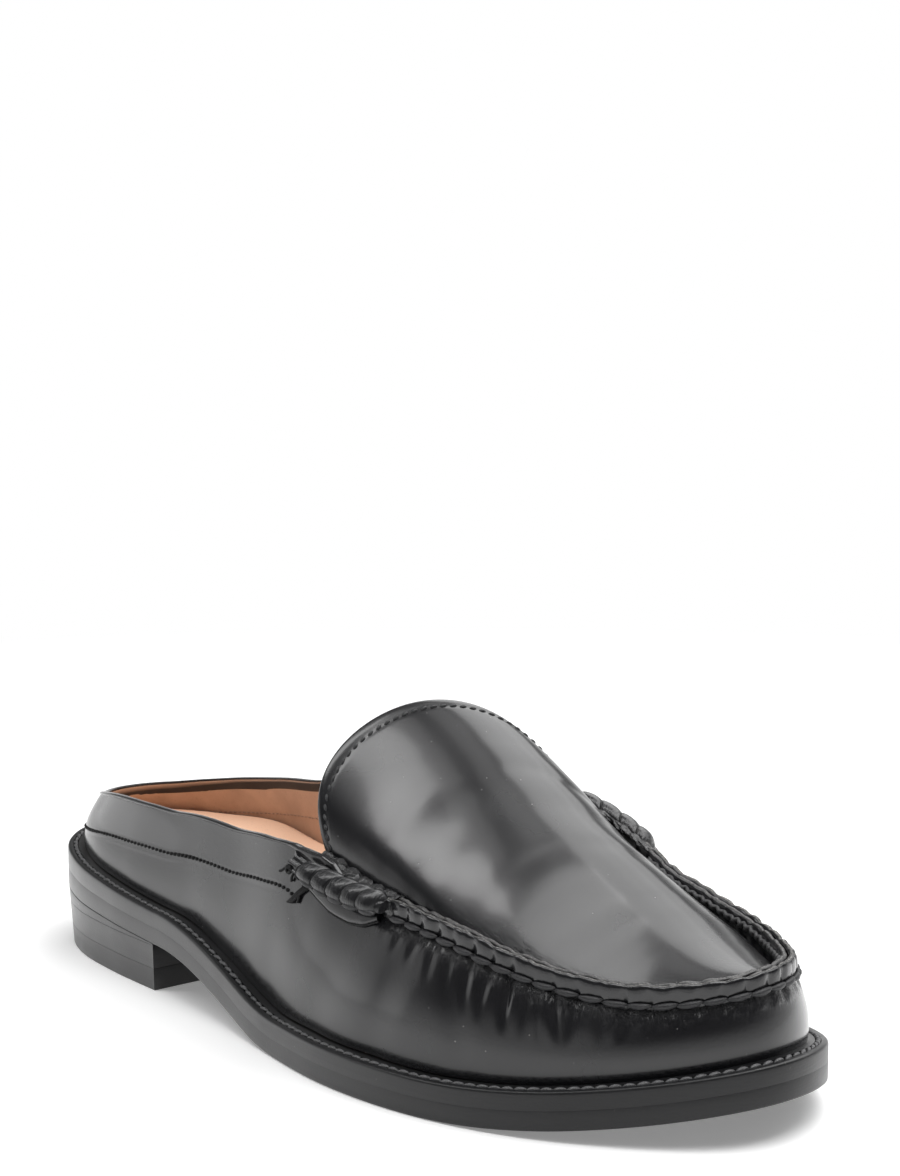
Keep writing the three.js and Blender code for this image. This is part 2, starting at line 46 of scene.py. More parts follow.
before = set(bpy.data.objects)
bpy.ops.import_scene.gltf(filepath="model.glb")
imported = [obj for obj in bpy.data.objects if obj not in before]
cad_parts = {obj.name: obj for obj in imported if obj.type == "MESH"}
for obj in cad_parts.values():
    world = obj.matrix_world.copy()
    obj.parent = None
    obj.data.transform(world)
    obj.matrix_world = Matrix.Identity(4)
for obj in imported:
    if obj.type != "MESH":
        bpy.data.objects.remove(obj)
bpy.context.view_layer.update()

# Shape functions work in millimetres, from the back of the heel and the sole's centre line.
# Meshes are turned to metres in the frame's own place when they are made.
MM = 0.001
TURN = 2 * math.pi
SOLE_LOW, SOLE_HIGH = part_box("outsole")

# Sizes of the sole
SOLE_LENGTH = (SOLE_HIGH.x - SOLE_LOW.x) / MM
BALL_WIDTH = 97.0
WAIST_WIDTH = 65.3
HEEL_WIDTH = 66.0
TOE_DRIFT = 6.8
HEEL_LENGTH = 76.0
HEEL_HEIGHT = 17.4
SEAT_DROP = 4.3
TOP_PIECE_HEIGHT = 5.8
LIFT_HEIGHT = 6.3
HEEL_TAPER = 1.2
SHANK_END = 144.0
SPRING_START = 196.0
TOE_SPRING = 9.3
OUTSOLE_THICKNESS = 4.4
WELT_THICKNESS = 4.3
SEAT_THICKENING = 3.4

# Sizes of the welt, the insole and the leather
WELT_WIDTH = 4.8
WELT_REACH = 11.5
CHANNEL_INSET = 2.3
CHANNEL_WIDTH = 1.5
CHANNEL_DEPTH = 0.8
PAD_RISE = 5.5
ARCH_LIFT = 6.5
ARCH_MIDDLE, ARCH_SPREAD = 0.41, 0.12
CUP_DEPTH = 1.2
CUSHION_RISE, CUSHION_DIP = 4.2, 1.5
CUSHION_MIDDLE, CUSHION_SPREAD = 0.205, 0.085
LEATHER = 1.8
APRON_LEATHER = 1.6
GAP = 0.3
JOINT = 0.01

# Sizes of the upper
SIDE_HEIGHT = 50.0
INSTEP_CROWN = 33.5
TONGUE_SWEEP = 15.5
RIDGE_HEIGHT = 4.6
RIDGE_LAYER = 1.7
COLLAR_LIP = 0.8
ROLL_WIDTH = 7.6
ROLL_HEIGHT = 5.0
CROWN_SKEW, SWEEP_SKEW, SWEEP_POWER = 1.05, 0.75, 0.4
ROLL_SINK = {"lateral": 2.0, "medial": 0.4}
ROLL_SHIFT = {"lateral": 3.2, "medial": 0.6}
ROLL_LOOPS = 5
ROLL_BOW = 0.034
ROLL_BUNDLE = 0.17
ROLL_NOSE = 0.92
LOOP_WAIST, LOOP_FULL = 0.78, 1.03
ROLL_TABS = 6
RIDGE_START = 0.016
LOW_BEND, HIGH_BEND = 0.36, 0.3

# Where the seam's parts and the quarter's line start and end, as shares of the sole's length
TONGUE_CORNER = {"lateral": 0.557, "medial": 0.634}
ROLL_FRONT = {"lateral": 0.662, "medial": 0.714}
ROLL_BACK = {"lateral": 0.54, "medial": 0.587}
SEAM_LINE_FRONT = {"lateral": 0.528, "medial": 0.606}

# Half widths of the sole on each side of its centre line, as shares of the named width
OUTLINE = {
    "at": (0.0, 0.04, 0.11, 0.2, 0.3, 0.42, 0.52, 0.62, 0.71, 0.79, 0.86, 0.92, 0.97),
    "width": (HEEL_WIDTH,) * 5 + (WAIST_WIDTH,) + (BALL_WIDTH,) * 7,
    "lateral": (0.0, 0.309, 0.445, 0.505, 0.533, 0.588, 0.445, 0.485, 0.48, 0.435, 0.355, 0.247, 0.12),
    "medial": (0.0, 0.32, 0.456, 0.494, 0.461, 0.412, 0.309, 0.411, 0.503, 0.527, 0.495, 0.411, 0.288),
}

# The wall's top line: inset from the sole's edge as a share of the ball width, and rise over the
# welt as a share of the side height
RIM_AT = (
    0.0, 0.03, 0.08, 0.15, 0.23, 0.31, 0.4, 0.47, 0.52, 0.56, 0.6,
    0.64, 0.68, 0.72, 0.76, 0.8, 0.84, 0.88, 0.92, 0.96, 1.0,
)
RIM_INSET = {
    "at": RIM_AT,
    "lateral": (
        0.108, 0.106, 0.095, 0.087, 0.082, 0.079, 0.077, 0.079, 0.091, 0.115, 0.132,
        0.139, 0.14, 0.134, 0.124, 0.113, 0.103, 0.095, 0.086, 0.078, 0.074,
    ),
    "medial": (
        0.108, 0.106, 0.099, 0.097, 0.097, 0.077, 0.031, 0.015, 0.023, 0.043, 0.072,
        0.105, 0.126, 0.138, 0.138, 0.13, 0.116, 0.101, 0.087, 0.077, 0.074,
    ),
}
RIM_RISE = {
    "at": RIM_AT,
    "lateral": (
        0.224, 0.254, 0.322, 0.408, 0.468, 0.518, 0.632, 0.766, 0.814, 0.72, 0.652,
        0.62, 0.606, 0.586, 0.554, 0.502, 0.44, 0.376, 0.316, 0.288, 0.28,
    ),
    "medial": (
        0.224, 0.25, 0.305, 0.392, 0.486, 0.566, 0.712, 0.856, 0.918, 0.93, 0.926,
        0.89, 0.8, 0.702, 0.61, 0.546, 0.48, 0.422, 0.356, 0.31, 0.28,
    ),
}

# Fullness of the wall: swelling past the welt line as a share of the ball width, and how much of
# the lean is held back for the shoulder
FULL_AT = (0.0, 0.2, 0.42, 0.58, 0.72, 0.86, 1.0)
BELLY = {
    "at": FULL_AT,
    "lateral": (0.004, 0.008, 0.012, 0.014, 0.014, 0.013, 0.012),
    "medial": (0.004, 0.008, 0.0, 0.01, 0.014, 0.013, 0.012),
}
SHOULDER = {
    "at": FULL_AT,
    "lateral": (0.8, 0.4, 0.3, 0.55, 0.7, 0.75, 0.75),
    "medial": (0.8, 0.4, 0.2, 0.5, 0.7, 0.75, 0.75),
}

# Apron sections from the toe (0) to the tongue's edge (1)
APRON = {
    "at": (0.0, 0.12, 0.3, 0.5, 0.7, 0.85, 1.0),
    "crown": (0.0, 0.08, 0.17, 0.32, 0.56, 0.78, 1.0),
    "sweep": (0.0, 0.0, 0.0, 0.02, 0.14, 0.45, 1.0),
    "lateral_power": (0.9, 0.9, 0.82, 0.7, 0.54, 0.4, 0.31),
    "medial_power": (0.9, 0.95, 1.0, 1.0, 0.95, 0.8, 0.46),
}

# Cross-section of a rolled seam end, as shares of the roll's width and height
ROLL_SECTION = (
    (-0.2, 0.28), (-0.27, 0.6), (-0.12, 0.93), (0.14, 1.02), (0.42, 0.84),
    (0.6, 0.46), (0.6, 0.14), (0.42, 0.0), (0.12, 0.2),
)

# How the leather is worked, in millimetres
SEAM_LINE_DROP = 10.3
OUTER_LEATHER = 1.1
TURNED_EDGE = 2.3
FLAP_LEATHER = 1.0
TONGUE_STITCH_INSET = 2.9
GROOVE, GROOVE_WIDTH = 0.07, 0.38
LAP_HEIGHT = 0.06
DEEPEST_RELIEF = 0.98

# Threads, in millimetres: radii, and how far they stand from what they lie on. The flap's cord is its
# inked edge together with painted shade under it.
FINE_THREAD, FLAP_EDGE_AND_SHADE = 0.36, 0.32
WRAP_THREAD, WRAP_STAND = 0.4, 0.45
KNOT_THREAD, KNOT_SIZE = 0.42, 0.85
BAR_STAND, BAR_HEIGHT = 0.55, 0.3
CHAIN_STAND, CHAIN_HEIGHT = 0.3, 2.6
WELT_THREAD_SINK = 0.12

# First seed of the random draws, and the upward direction
SEED = 11
UP = np.array([0.0, 0.0, 1.0])


def ease(t):
    t = np.clip(t, 0.0, 1.0)
    return t * t * (3 - 2 * t)


def bell(offset, width):
    return np.exp(-((offset / width) ** 2))


def mix(a, b, t):
    return a + (b - a) * t


def angle_at(side, share):
    """Angle round the shoe: 0 at the back, half a turn at the toe, lateral side first."""
    angle = np.arccos(1 - 2 * np.asarray(share, float))
    return angle if side == "lateral" else TURN - angle


def length_at(angle):
    return SOLE_LENGTH * (1 - np.cos(angle)) / 2


def hermite(places, values, where):
    """Smooth curve through knots, of which the first and the last only give slopes."""
    slopes = (values[2:] - values[:-2]) / (places[2:] - places[:-2])
    i = np.clip(np.searchsorted(places, where, side="right") - 1, 1, len(places) - 3)
    span = places[i + 1] - places[i]
    t = np.clip((where - places[i]) / span, 0, 1)
    keep = 2 * t**3 - 3 * t**2 + 1
    leave = t**3 - 2 * t**2 + t
    arrive = t**3 - t**2
    level = keep * values[i] + (1 - keep) * values[i + 1]
    return level + span * (leave * slopes[i - 1] + arrive * slopes[i])


def round_curve(at, lateral, medial):
    """A smooth closed value over the angle round the shoe."""
    at = np.array(at, float)
    inner = (at > 0) & (at < 1)
    places = np.concatenate([angle_at("lateral", at), angle_at("medial", at[inner])[::-1]])
    values = np.concatenate([np.array(lateral, float), np.array(medial, float)[inner][::-1]])
    places = np.concatenate([places[-2:] - TURN, places, places[:3] + TURN])
    values = np.concatenate([values[-2:], values, values[:3]])
    return lambda angle: hermite(places, values, np.mod(angle, TURN))


def table_curve(table, scale=1.0):
    lateral = np.array(table["lateral"]) * scale
    return round_curve(table["at"], lateral, np.array(table["medial"]) * scale)


def apron_curve(column):
    at = np.array(APRON["at"], float)
    values = np.array(APRON[column], float)
    places = np.concatenate([[2 * at[0] - at[1]], at, [2 * at[-1] - at[-2]]])
    values = np.concatenate([[2 * values[0] - values[1]], values, [2 * values[-1] - values[-2]]])
    return lambda run: hermite(places, values, run)


outline_y = round_curve(
    OUTLINE["at"] + (1.0,),
    np.append(-np.array(OUTLINE["lateral"]) * OUTLINE["width"], TOE_DRIFT),
    np.append(np.array(OUTLINE["medial"]) * OUTLINE["width"], TOE_DRIFT),
)
rim_inset = table_curve(RIM_INSET, BALL_WIDTH)
rim_rise = table_curve(RIM_RISE, SIDE_HEIGHT)
belly = table_curve(BELLY, BALL_WIDTH)
shoulder = table_curve(SHOULDER)
crown_share = apron_curve("crown")
sweep_share = apron_curve("sweep")
lateral_power = apron_curve("lateral_power")
medial_power = apron_curve("medial_power")

OUTLINE_SAMPLES = outline_y(np.linspace(0, TURN, 4001))
PLACE = np.array([-SOLE_LENGTH / 2, SOLE_LOW.y / MM - OUTLINE_SAMPLES.min(), 0.0])


def edge_at(angle, inset):
    """The sole's edge at an angle, moved in across the edge: x and y."""
    step = 0.01
    run_x = length_at(angle + step) - length_at(angle - step)
    run_y = outline_y(angle + step) - outline_y(angle - step)
    size = np.hypot(run_x, run_y)
    return length_at(angle) - run_y / size * inset, outline_y(angle) + run_x / size * inset


def at_edge(angle, inset, height):
    """Points at an inset from the sole's edge, at a height."""
    x, y = edge_at(angle, inset)
    x, y, z = np.broadcast_arrays(x, y, height)
    return np.stack([x, y, z], -1)


def underside(x):
    """Underside of the sole over the floor: the seat, the shank's fall, the tread, the spring."""
    seat = HEEL_HEIGHT - SEAT_DROP * x / HEEL_LENGTH
    fall = np.clip((x - HEEL_LENGTH) / (SHANK_END - HEEL_LENGTH), 0, 1)
    shank = (HEEL_HEIGHT - SEAT_DROP) * (1 + np.cos(np.pi * fall)) / 2
    spring = TOE_SPRING * np.clip((x - SPRING_START) / (SOLE_LENGTH - SPRING_START), 0, None) ** 2
    return np.where(x <= HEEL_LENGTH, seat, shank + spring)


def thickening(x):
    return SEAT_THICKENING / 2 * np.clip(1 - x / HEEL_LENGTH, 0, 1) ** 1.5


def outsole_top(x):
    return underside(x) + OUTSOLE_THICKNESS + thickening(x)


def welt_top(x):
    return outsole_top(x) + GAP + WELT_THICKNESS + thickening(x)


def stand_share(angle):
    """How much of the raised seam stands: none along the collar and under the rolls."""
    start = angle_at("lateral", ROLL_FRONT["lateral"]) - 2.2 * RIDGE_START
    end = angle_at("medial", ROLL_FRONT["medial"]) + 2.2 * RIDGE_START
    return ease((angle - start) / RIDGE_START) * ease((end - angle) / RIDGE_START)


def rim_height(angle):
    return welt_top(length_at(angle)) + rim_rise(angle)


def wall(angle, t, depth=0.0):
    """Inset and height of the side wall from the welt (0) to the rim (1), at a depth inside it."""
    foot_z = welt_top(edge_at(angle, WELT_WIDTH)[0]) + GAP
    rim_i, rim_z = rim_inset(angle), rim_height(angle)
    height = rim_z - foot_z
    insets = (
        WELT_WIDTH,
        WELT_WIDTH - belly(angle),
        rim_i - (rim_i - WELT_WIDTH) * shoulder(angle),
        rim_i,
    )
    levels = (foot_z, foot_z + LOW_BEND * height, rim_z - HIGH_BEND * height, rim_z)
    u = 1 - t

    def place(p):
        return u**3 * p[0] + 3 * u * u * t * p[1] + 3 * u * t * t * p[2] + t**3 * p[3]

    def rate(p):
        return u * u * (p[1] - p[0]) + 2 * u * t * (p[2] - p[1]) + t * t * (p[3] - p[2])

    lean, climb = rate(insets), rate(levels)
    size = np.hypot(lean, climb)
    return place(insets) + depth * climb / size, place(levels) - depth * lean / size


def wall_drop(angle, t):
    """Distance along the wall from the rim down to each t, for a rising row of t."""
    inset, z = wall(angle, t)
    steps = np.hypot(np.diff(inset, axis=1), np.diff(z, axis=1))
    climbed = np.concatenate([np.zeros((len(steps), 1)), np.cumsum(steps, axis=1)], axis=1)
    return climbed[:, -1:] - climbed


DROP_T = np.linspace(0, 1, 81)[None, :]


def t_at_drop(angle, drop):
    """The wall's t at a distance below the rim, one for each angle."""
    table = wall_drop(angle[:, None], DROP_T)
    drop = np.broadcast_to(drop, angle.shape)
    return np.array([np.interp(-d, -row, DROP_T[0]) for d, row in zip(drop, table)])


def wall_point(angle, drop, depth=0.0):
    """Points on the wall at a distance below the rim, and at a depth inside its outer face."""
    inset, z = wall(angle, t_at_drop(angle, drop), depth)
    return at_edge(angle, inset, z)


# The rim's own length, from the back of the heel round the lateral side
RIM_ANGLES = np.linspace(0, TURN, 6001)
RIM_LINE = at_edge(RIM_ANGLES, rim_inset(RIM_ANGLES), rim_height(RIM_ANGLES))
RIM_RUNS = np.concatenate([[0], np.cumsum(np.linalg.norm(np.diff(RIM_LINE, axis=0), axis=1))])


def run_at(angle):
    return np.interp(angle, RIM_ANGLES, RIM_RUNS)


def angle_of(run):
    return np.interp(run, RIM_RUNS, RIM_ANGLES)


SEAM_START = float(run_at(angle_at("lateral", ROLL_FRONT["lateral"]))) + 1.0
SEAM_END = float(run_at(angle_at("medial", ROLL_FRONT["medial"]))) - 1.0


def stitch_count(pitch):
    return int(round((SEAM_END - SEAM_START) / pitch))


def stitch_phase(run, count):
    """Stitches counted along the raised seam: whole numbers are the holes."""
    return (run - SEAM_START) / (SEAM_END - SEAM_START) * count


def facing(points, closed=False):
    """Unit directions along a row of points."""
    if closed:
        ahead = np.roll(points, -1, axis=0) - np.roll(points, 1, axis=0)
    else:
        ahead = np.gradient(points, axis=0)
    return ahead / np.linalg.norm(ahead, axis=-1, keepdims=True)


def across_edge(angle):
    """Unit directions, level, from the shoe's inside to its outside at an angle."""
    inner, outer = at_edge(angle, 1.0, 0.0), at_edge(angle, 0.0, 0.0)
    return (outer - inner) / np.linalg.norm(outer - inner, axis=-1, keepdims=True)


class Shell:
    """Grids of points gathered into one closed mesh, with a map in metres and marks."""

    def __init__(self):
        self.points, self.faces, self.corners, self.skins = [], [], [], []
        self.marks = {}
        self.count = 0

    def grid(self, points, skin=0, spread=None, **marks):
        """Quads over a grid of points, with a map of them and marks, a value for each point."""
        rows, columns = points.shape[:2]
        index = np.arange(rows * columns).reshape(rows, columns)
        quads = np.stack([index[:-1, :-1], index[1:, :-1], index[1:, 1:], index[:-1, 1:]], -1)
        quads = quads.reshape(-1, 4)
        if spread is None:
            spread = grid_spread(points)
        self.points.append(points.reshape(-1, 3))
        self.faces.extend((quads + self.count).tolist())
        self.corners.append(spread.reshape(-1, 2)[quads].reshape(-1, 2))
        self.skins.append(np.broadcast_to(skin, (rows - 1, columns - 1)).reshape(-1))
        for name, values in marks.items():
            flat = np.broadcast_to(values, (rows, columns)).reshape(-1)
            self.marks.setdefault(name, []).append((self.count, flat))
        self.count += rows * columns

    def fan(self, ring, skin=0):
        """Triangles from the middle of a closed ring, whose last point isn't repeated."""
        size = len(ring)
        self.points.append(np.concatenate([ring, ring.mean(0, keepdims=True)]))
        for k in range(size):
            self.faces.append([self.count + k, self.count + (k + 1) % size, self.count + size])
        self.corners.append(np.zeros((3 * size, 2)))
        self.skins.append(np.full(size, skin))
        self.count += size + 1

    def make(self, name, keys, sharp, slot, *nodes):
        """The finished piece, in metres in the frame's place, with a material for each skin."""
        mesh = bpy.data.meshes.new(name)
        points = (np.concatenate(self.points) + PLACE) * MM
        mesh.from_pydata(points.tolist(), [], self.faces)
        mesh.polygons.foreach_set("material_index", np.concatenate(self.skins).astype(np.int32))
        spread = mesh.uv_layers.new(name="spread")
        spread.data.foreach_set("uv", (np.concatenate(self.corners) * MM).astype(np.float32).ravel())
        for mark, pieces in self.marks.items():
            values = np.zeros(self.count, np.float32)
            for start, flat in pieces:
                values[start : start + len(flat)] = flat
            mesh.attributes.new(mark, "FLOAT", "POINT").data.foreach_set("value", values)
        tidy_mesh(mesh, sharp)
        for key in keys:
            mesh.materials.append(material_of(key))
        return finish_piece(mesh, slot, *nodes)


def grid_spread(points):
    """A flat map of a grid: lengths along its rows and along its columns."""
    down = np.linalg.norm(np.diff(points, axis=0), axis=-1)
    over = np.linalg.norm(np.diff(points, axis=1), axis=-1)
    u = np.concatenate([np.zeros((1, points.shape[1])), np.cumsum(down, axis=0)])
    v = np.concatenate([np.zeros((points.shape[0], 1)), np.cumsum(over, axis=1)], axis=1)
    u = np.broadcast_to(u.mean(1, keepdims=True), u.shape)
    return np.stack([u, v], -1)


def tidy_mesh(mesh, sharp):
    """Merges doubles, turns faces outwards and shades the mesh."""
    work = bmesh.new()
    work.from_mesh(mesh)
    bmesh.ops.remove_doubles(work, verts=work.verts, dist=2e-6)
    bmesh.ops.recalc_face_normals(work, faces=work.faces)
    work.to_mesh(mesh)
    work.free()
    mesh.shade_smooth()
    mesh.set_sharp_from_angle(angle=math.radians(sharp))


def tube(shell, points, radius, sides=8, skin=0, closed=False):
    """A round cord along points, with closed ends."""
    ahead = facing(points, closed)
    side = np.cross(ahead, UP)
    side /= np.maximum(np.linalg.norm(side, axis=1, keepdims=True), 1e-6)
    up = np.cross(side, ahead)
    turn = np.linspace(0, TURN, sides + 1)
    radius = np.broadcast_to(radius, len(points))[:, None, None]
    ring = np.cos(turn)[None, :, None] * side[:, None] + np.sin(turn)[None, :, None] * up[:, None]
    rings = points[:, None] + radius * ring
    if closed:
        rings = np.concatenate([rings, rings[:1]])
    shell.grid(rings, skin)
    if not closed:
        shell.fan(rings[0, :-1], skin)
        shell.fan(rings[-1, :-1], skin)


def place_object(name, data):
    made = bpy.data.objects.new(name, data)
    bpy.context.scene.collection.objects.link(made)
    return made


def finish_piece(mesh, slot, *nodes):
    """The mesh as a piece that rides on the shoe's body, and the nodes that it stands for."""
    made = place_object(mesh.name, mesh)
    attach(made, "root")
    if nodes:
        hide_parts(*nodes)
    return made


def add(tree, kind, sockets=(), **settings):
    """A node with its settings made and its sockets set or linked."""
    made = tree.nodes.new(kind)
    for key, value in settings.items():
        setattr(made, key, value)
    for key, value in dict(sockets).items():
        if isinstance(value, bpy.types.NodeSocket):
            tree.links.new(value, made.inputs[key])
        else:
            made.inputs[key].default_value = value
    return made


def maths(tree, operation, a, b=0.0, clamp=False):
    node = add(tree, "ShaderNodeMath", {0: a, 1: b}, operation=operation, use_clamp=clamp)
    return node.outputs[0]


def ramp(tree, value, low, high, start=0.0, end=1.0):
    """Value mapped from low and high to start and end, and clamped."""
    sockets = {"Value": value, "From Min": low, "From Max": high, "To Min": start, "To Max": end}
    return add(tree, "ShaderNodeMapRange", sockets).outputs["Result"]


def blend_colour(tree, factor, a, b):
    sockets = {"Factor": factor}
    node = add(tree, "ShaderNodeMix", sockets, data_type="RGBA")
    for index, value in ((6, a), (7, b)):
        if isinstance(value, bpy.types.NodeSocket):
            tree.links.new(value, node.inputs[index])
        else:
            node.inputs[index].default_value = (*value, 1.0)
    return node.outputs[2]


def noise(tree, vector, scale, detail=3.0, roughness=0.5):
    sockets = {"Vector": vector, "Scale": scale, "Detail": detail, "Roughness": roughness}
    return add(tree, "ShaderNodeTexNoise", sockets).outputs["Fac"]


def stretched(tree, vector, scale):
    return add(tree, "ShaderNodeMapping", {"Vector": vector, "Scale": scale}).outputs[0]


def effect(name, inputs, outputs):
    """An empty shader node group with its sockets, and its input and output nodes."""
    tree = bpy.data.node_groups.new(name, "ShaderNodeTree")
    for label, kind, default in inputs:
        socket = tree.interface.new_socket(label, in_out="INPUT", socket_type="NodeSocket" + kind)
        if kind == "Float":
            socket.default_value = default
    for label, kind in outputs:
        tree.interface.new_socket(label, in_out="OUTPUT", socket_type="NodeSocket" + kind)
    source = tree.nodes.new("NodeGroupInput").outputs
    target = tree.nodes.new("NodeGroupOutput").inputs
    return tree, source, target


def leather_grain():
    """Fine pebble and slow waves of a smooth leather."""
    tree, given, out = effect(
        "Leather grain",
        [("Vector", "Vector", None), ("Pebble", "Float", 1500.0), ("Wave", "Float", 60.0)],
        [("Height", "Float")],
    )
    cells = add(
        tree,
        "ShaderNodeTexVoronoi",
        {"Vector": given["Vector"], "Scale": given["Pebble"]},
        feature="SMOOTH_F1",
    )
    fine = maths(tree, "MULTIPLY", cells.outputs["Distance"], 0.35)
    slow = maths(tree, "MULTIPLY", noise(tree, given["Vector"], given["Wave"], 2.0), 1.6)
    tree.links.new(maths(tree, "ADD", fine, slow), out["Height"])
    return tree


def dust_specks():
    """Small scattered dots of dust, more of them in some places."""
    tree, given, out = effect(
        "Dust specks",
        [("Vector", "Vector", None), ("Scale", "Float", 170.0), ("Size", "Float", 0.035)],
        [("Mask", "Float")],
    )
    dots = add(
        tree,
        "ShaderNodeTexVoronoi",
        {"Vector": given["Vector"], "Scale": given["Scale"], "Randomness": 1.0},
    )
    edge = maths(tree, "SUBTRACT", given["Size"], dots.outputs["Distance"])
    dot = maths(tree, "MULTIPLY", edge, 60.0, clamp=True)
    where = ramp(tree, noise(tree, given["Vector"], 38.0, 4.0), 0.42, 0.58)
    tree.links.new(maths(tree, "MULTIPLY", dot, where), out["Mask"])
    return tree


def fine_scratches():
    """Short thin scratches in two directions."""
    tree, given, out = effect(
        "Fine scratches",
        [("Vector", "Vector", None), ("Amount", "Float", 0.5)],
        [("Mask", "Float")],
    )
    marks = []
    for turned, scale in ((0.6, (45.0, 420.0, 130.0)), (2.1, (60.0, 520.0, 110.0))):
        sockets = {"Vector": given["Vector"], "Rotation": (0.3, 0.2, turned)}
        laid = stretched(tree, add(tree, "ShaderNodeMapping", sockets).outputs[0], scale)
        near = add(tree, "ShaderNodeTexVoronoi", {"Vector": laid, "Scale": 1.0}).outputs["Distance"]
        marks.append(ramp(tree, near, 0.03, 0.06, 1.0, 0.0))
    both = maths(tree, "MAXIMUM", marks[0], marks[1])
    patches = ramp(tree, noise(tree, given["Vector"], 22.0, 2.0), 0.5, 0.62)
    worn = maths(tree, "MULTIPLY", both, patches)
    tree.links.new(maths(tree, "MULTIPLY", worn, given["Amount"]), out["Mask"])
    return tree


def place_effect(tree, name, sockets):
    """The node group of that name, built once, placed in a material."""
    builders = {
        "Leather grain": leather_grain,
        "Dust specks": dust_specks,
        "Fine scratches": fine_scratches,
    }
    group = bpy.data.node_groups.get(name) or builders[name]()
    return add(tree, "ShaderNodeGroup", sockets, node_tree=group).outputs[0]


def bump(tree, height, distance, normal=None):
    sockets = {"Height": height, "Distance": distance, "Strength": 1.0}
    if normal is not None:
        sockets["Normal"] = normal
    return add(tree, "ShaderNodeBump", sockets).outputs["Normal"]


def new_material(name):
    """An empty material: its tree and its object coordinates."""
    material = bpy.data.materials.new(name)
    material.use_nodes = True
    tree = material.node_tree
    tree.nodes.clear()
    return material, tree, tree.nodes.new("ShaderNodeTexCoord").outputs["Object"]


def mark_value(tree, name):
    return add(tree, "ShaderNodeAttribute", attribute_name=name).outputs["Fac"]


def set_shader(tree, sockets):
    shader = add(tree, "ShaderNodeBsdfPrincipled", sockets)
    add(tree, "ShaderNodeOutputMaterial", {"Surface": shader.outputs[0]})


def polished_leather(name, looks, waves=1.0):
    """Black brush-off leather: gloss with a haze, creases by the seam, dust and raw edges."""
    material, tree, place = new_material(name)
    grain = place_effect(tree, "Leather grain", {"Vector": place, "Pebble": 1500.0, "Wave": 55.0})
    dust = place_effect(tree, "Dust specks", {"Vector": place, "Scale": 260.0, "Size": 0.045})
    raw, pucker = mark_value(tree, "raw"), mark_value(tree, "pucker")
    spread = tree.nodes.new("ShaderNodeUVMap").outputs[0]
    rays = noise(tree, stretched(tree, spread, (1500.0, 260.0, 1.0)), 1.0, 3.0, 0.6)
    fibres = noise(tree, place, 2600.0, 3.0)
    rays = maths(tree, "MULTIPLY", ramp(tree, rays, 0.35, 0.65), pucker)
    frayed = maths(tree, "MULTIPLY", fibres, raw)
    normal = bump(tree, grain, 0.00003 * waves)
    normal = bump(tree, rays, 0.00035, normal)
    normal = bump(tree, frayed, 0.0005, normal)
    cloudy = noise(tree, place, 45.0, 4.0)
    colour = blend_colour(tree, cloudy, looks.leather, [c * 1.3 + 0.002 for c in looks.leather])
    fuzz = maths(tree, "MULTIPLY", ramp(tree, fibres, 0.42, 0.66), raw)
    colour = blend_colour(tree, fuzz, colour, looks.raw_edge)
    colour = blend_colour(tree, maths(tree, "MULTIPLY", dust, 0.45), colour, looks.dust)
    haze = looks.leather_roughness
    rough = ramp(tree, cloudy, 0.3, 0.7, haze - 0.03, haze + 0.04)
    rough = maths(tree, "ADD", rough, maths(tree, "MULTIPLY", raw, 0.45))
    rough = maths(tree, "ADD", rough, maths(tree, "MULTIPLY", dust, 0.3), clamp=True)
    set_shader(tree, {
        "Base Color": colour,
        "Roughness": rough,
        "Normal": normal,
        "IOR": 1.5,
        "Coat Weight": looks.leather_coat,
        "Coat Roughness": 0.12,
    })
    return material


def soft_leather(name, colour, looks, roughness, darker=0.75):
    """Undyed lining or sock leather: matt, mottled and finely grained."""
    material, tree, place = new_material(name)
    grain = place_effect(tree, "Leather grain", {"Vector": place, "Pebble": 900.0, "Wave": 160.0})
    mottle = ramp(tree, noise(tree, place, 70.0, 5.0, 0.62), 0.3, 0.72)
    shade = [c * darker for c in colour]
    skin = blend_colour(tree, mottle, shade, colour)
    pores = ramp(tree, noise(tree, place, 1500.0, 2.0), 0.62, 0.72)
    skin = blend_colour(tree, maths(tree, "MULTIPLY", pores, 0.25), skin, [c * 0.45 for c in colour])
    skin = blend_colour(tree, mark_value(tree, "turned"), skin, looks.turned_edge)
    set_shader(tree, {
        "Base Color": skin,
        "Roughness": ramp(tree, mottle, 0.0, 1.0, roughness - 0.06, roughness + 0.06),
        "Normal": bump(tree, grain, 0.00008),
        "Specular IOR Level": 0.35,
    })
    return material


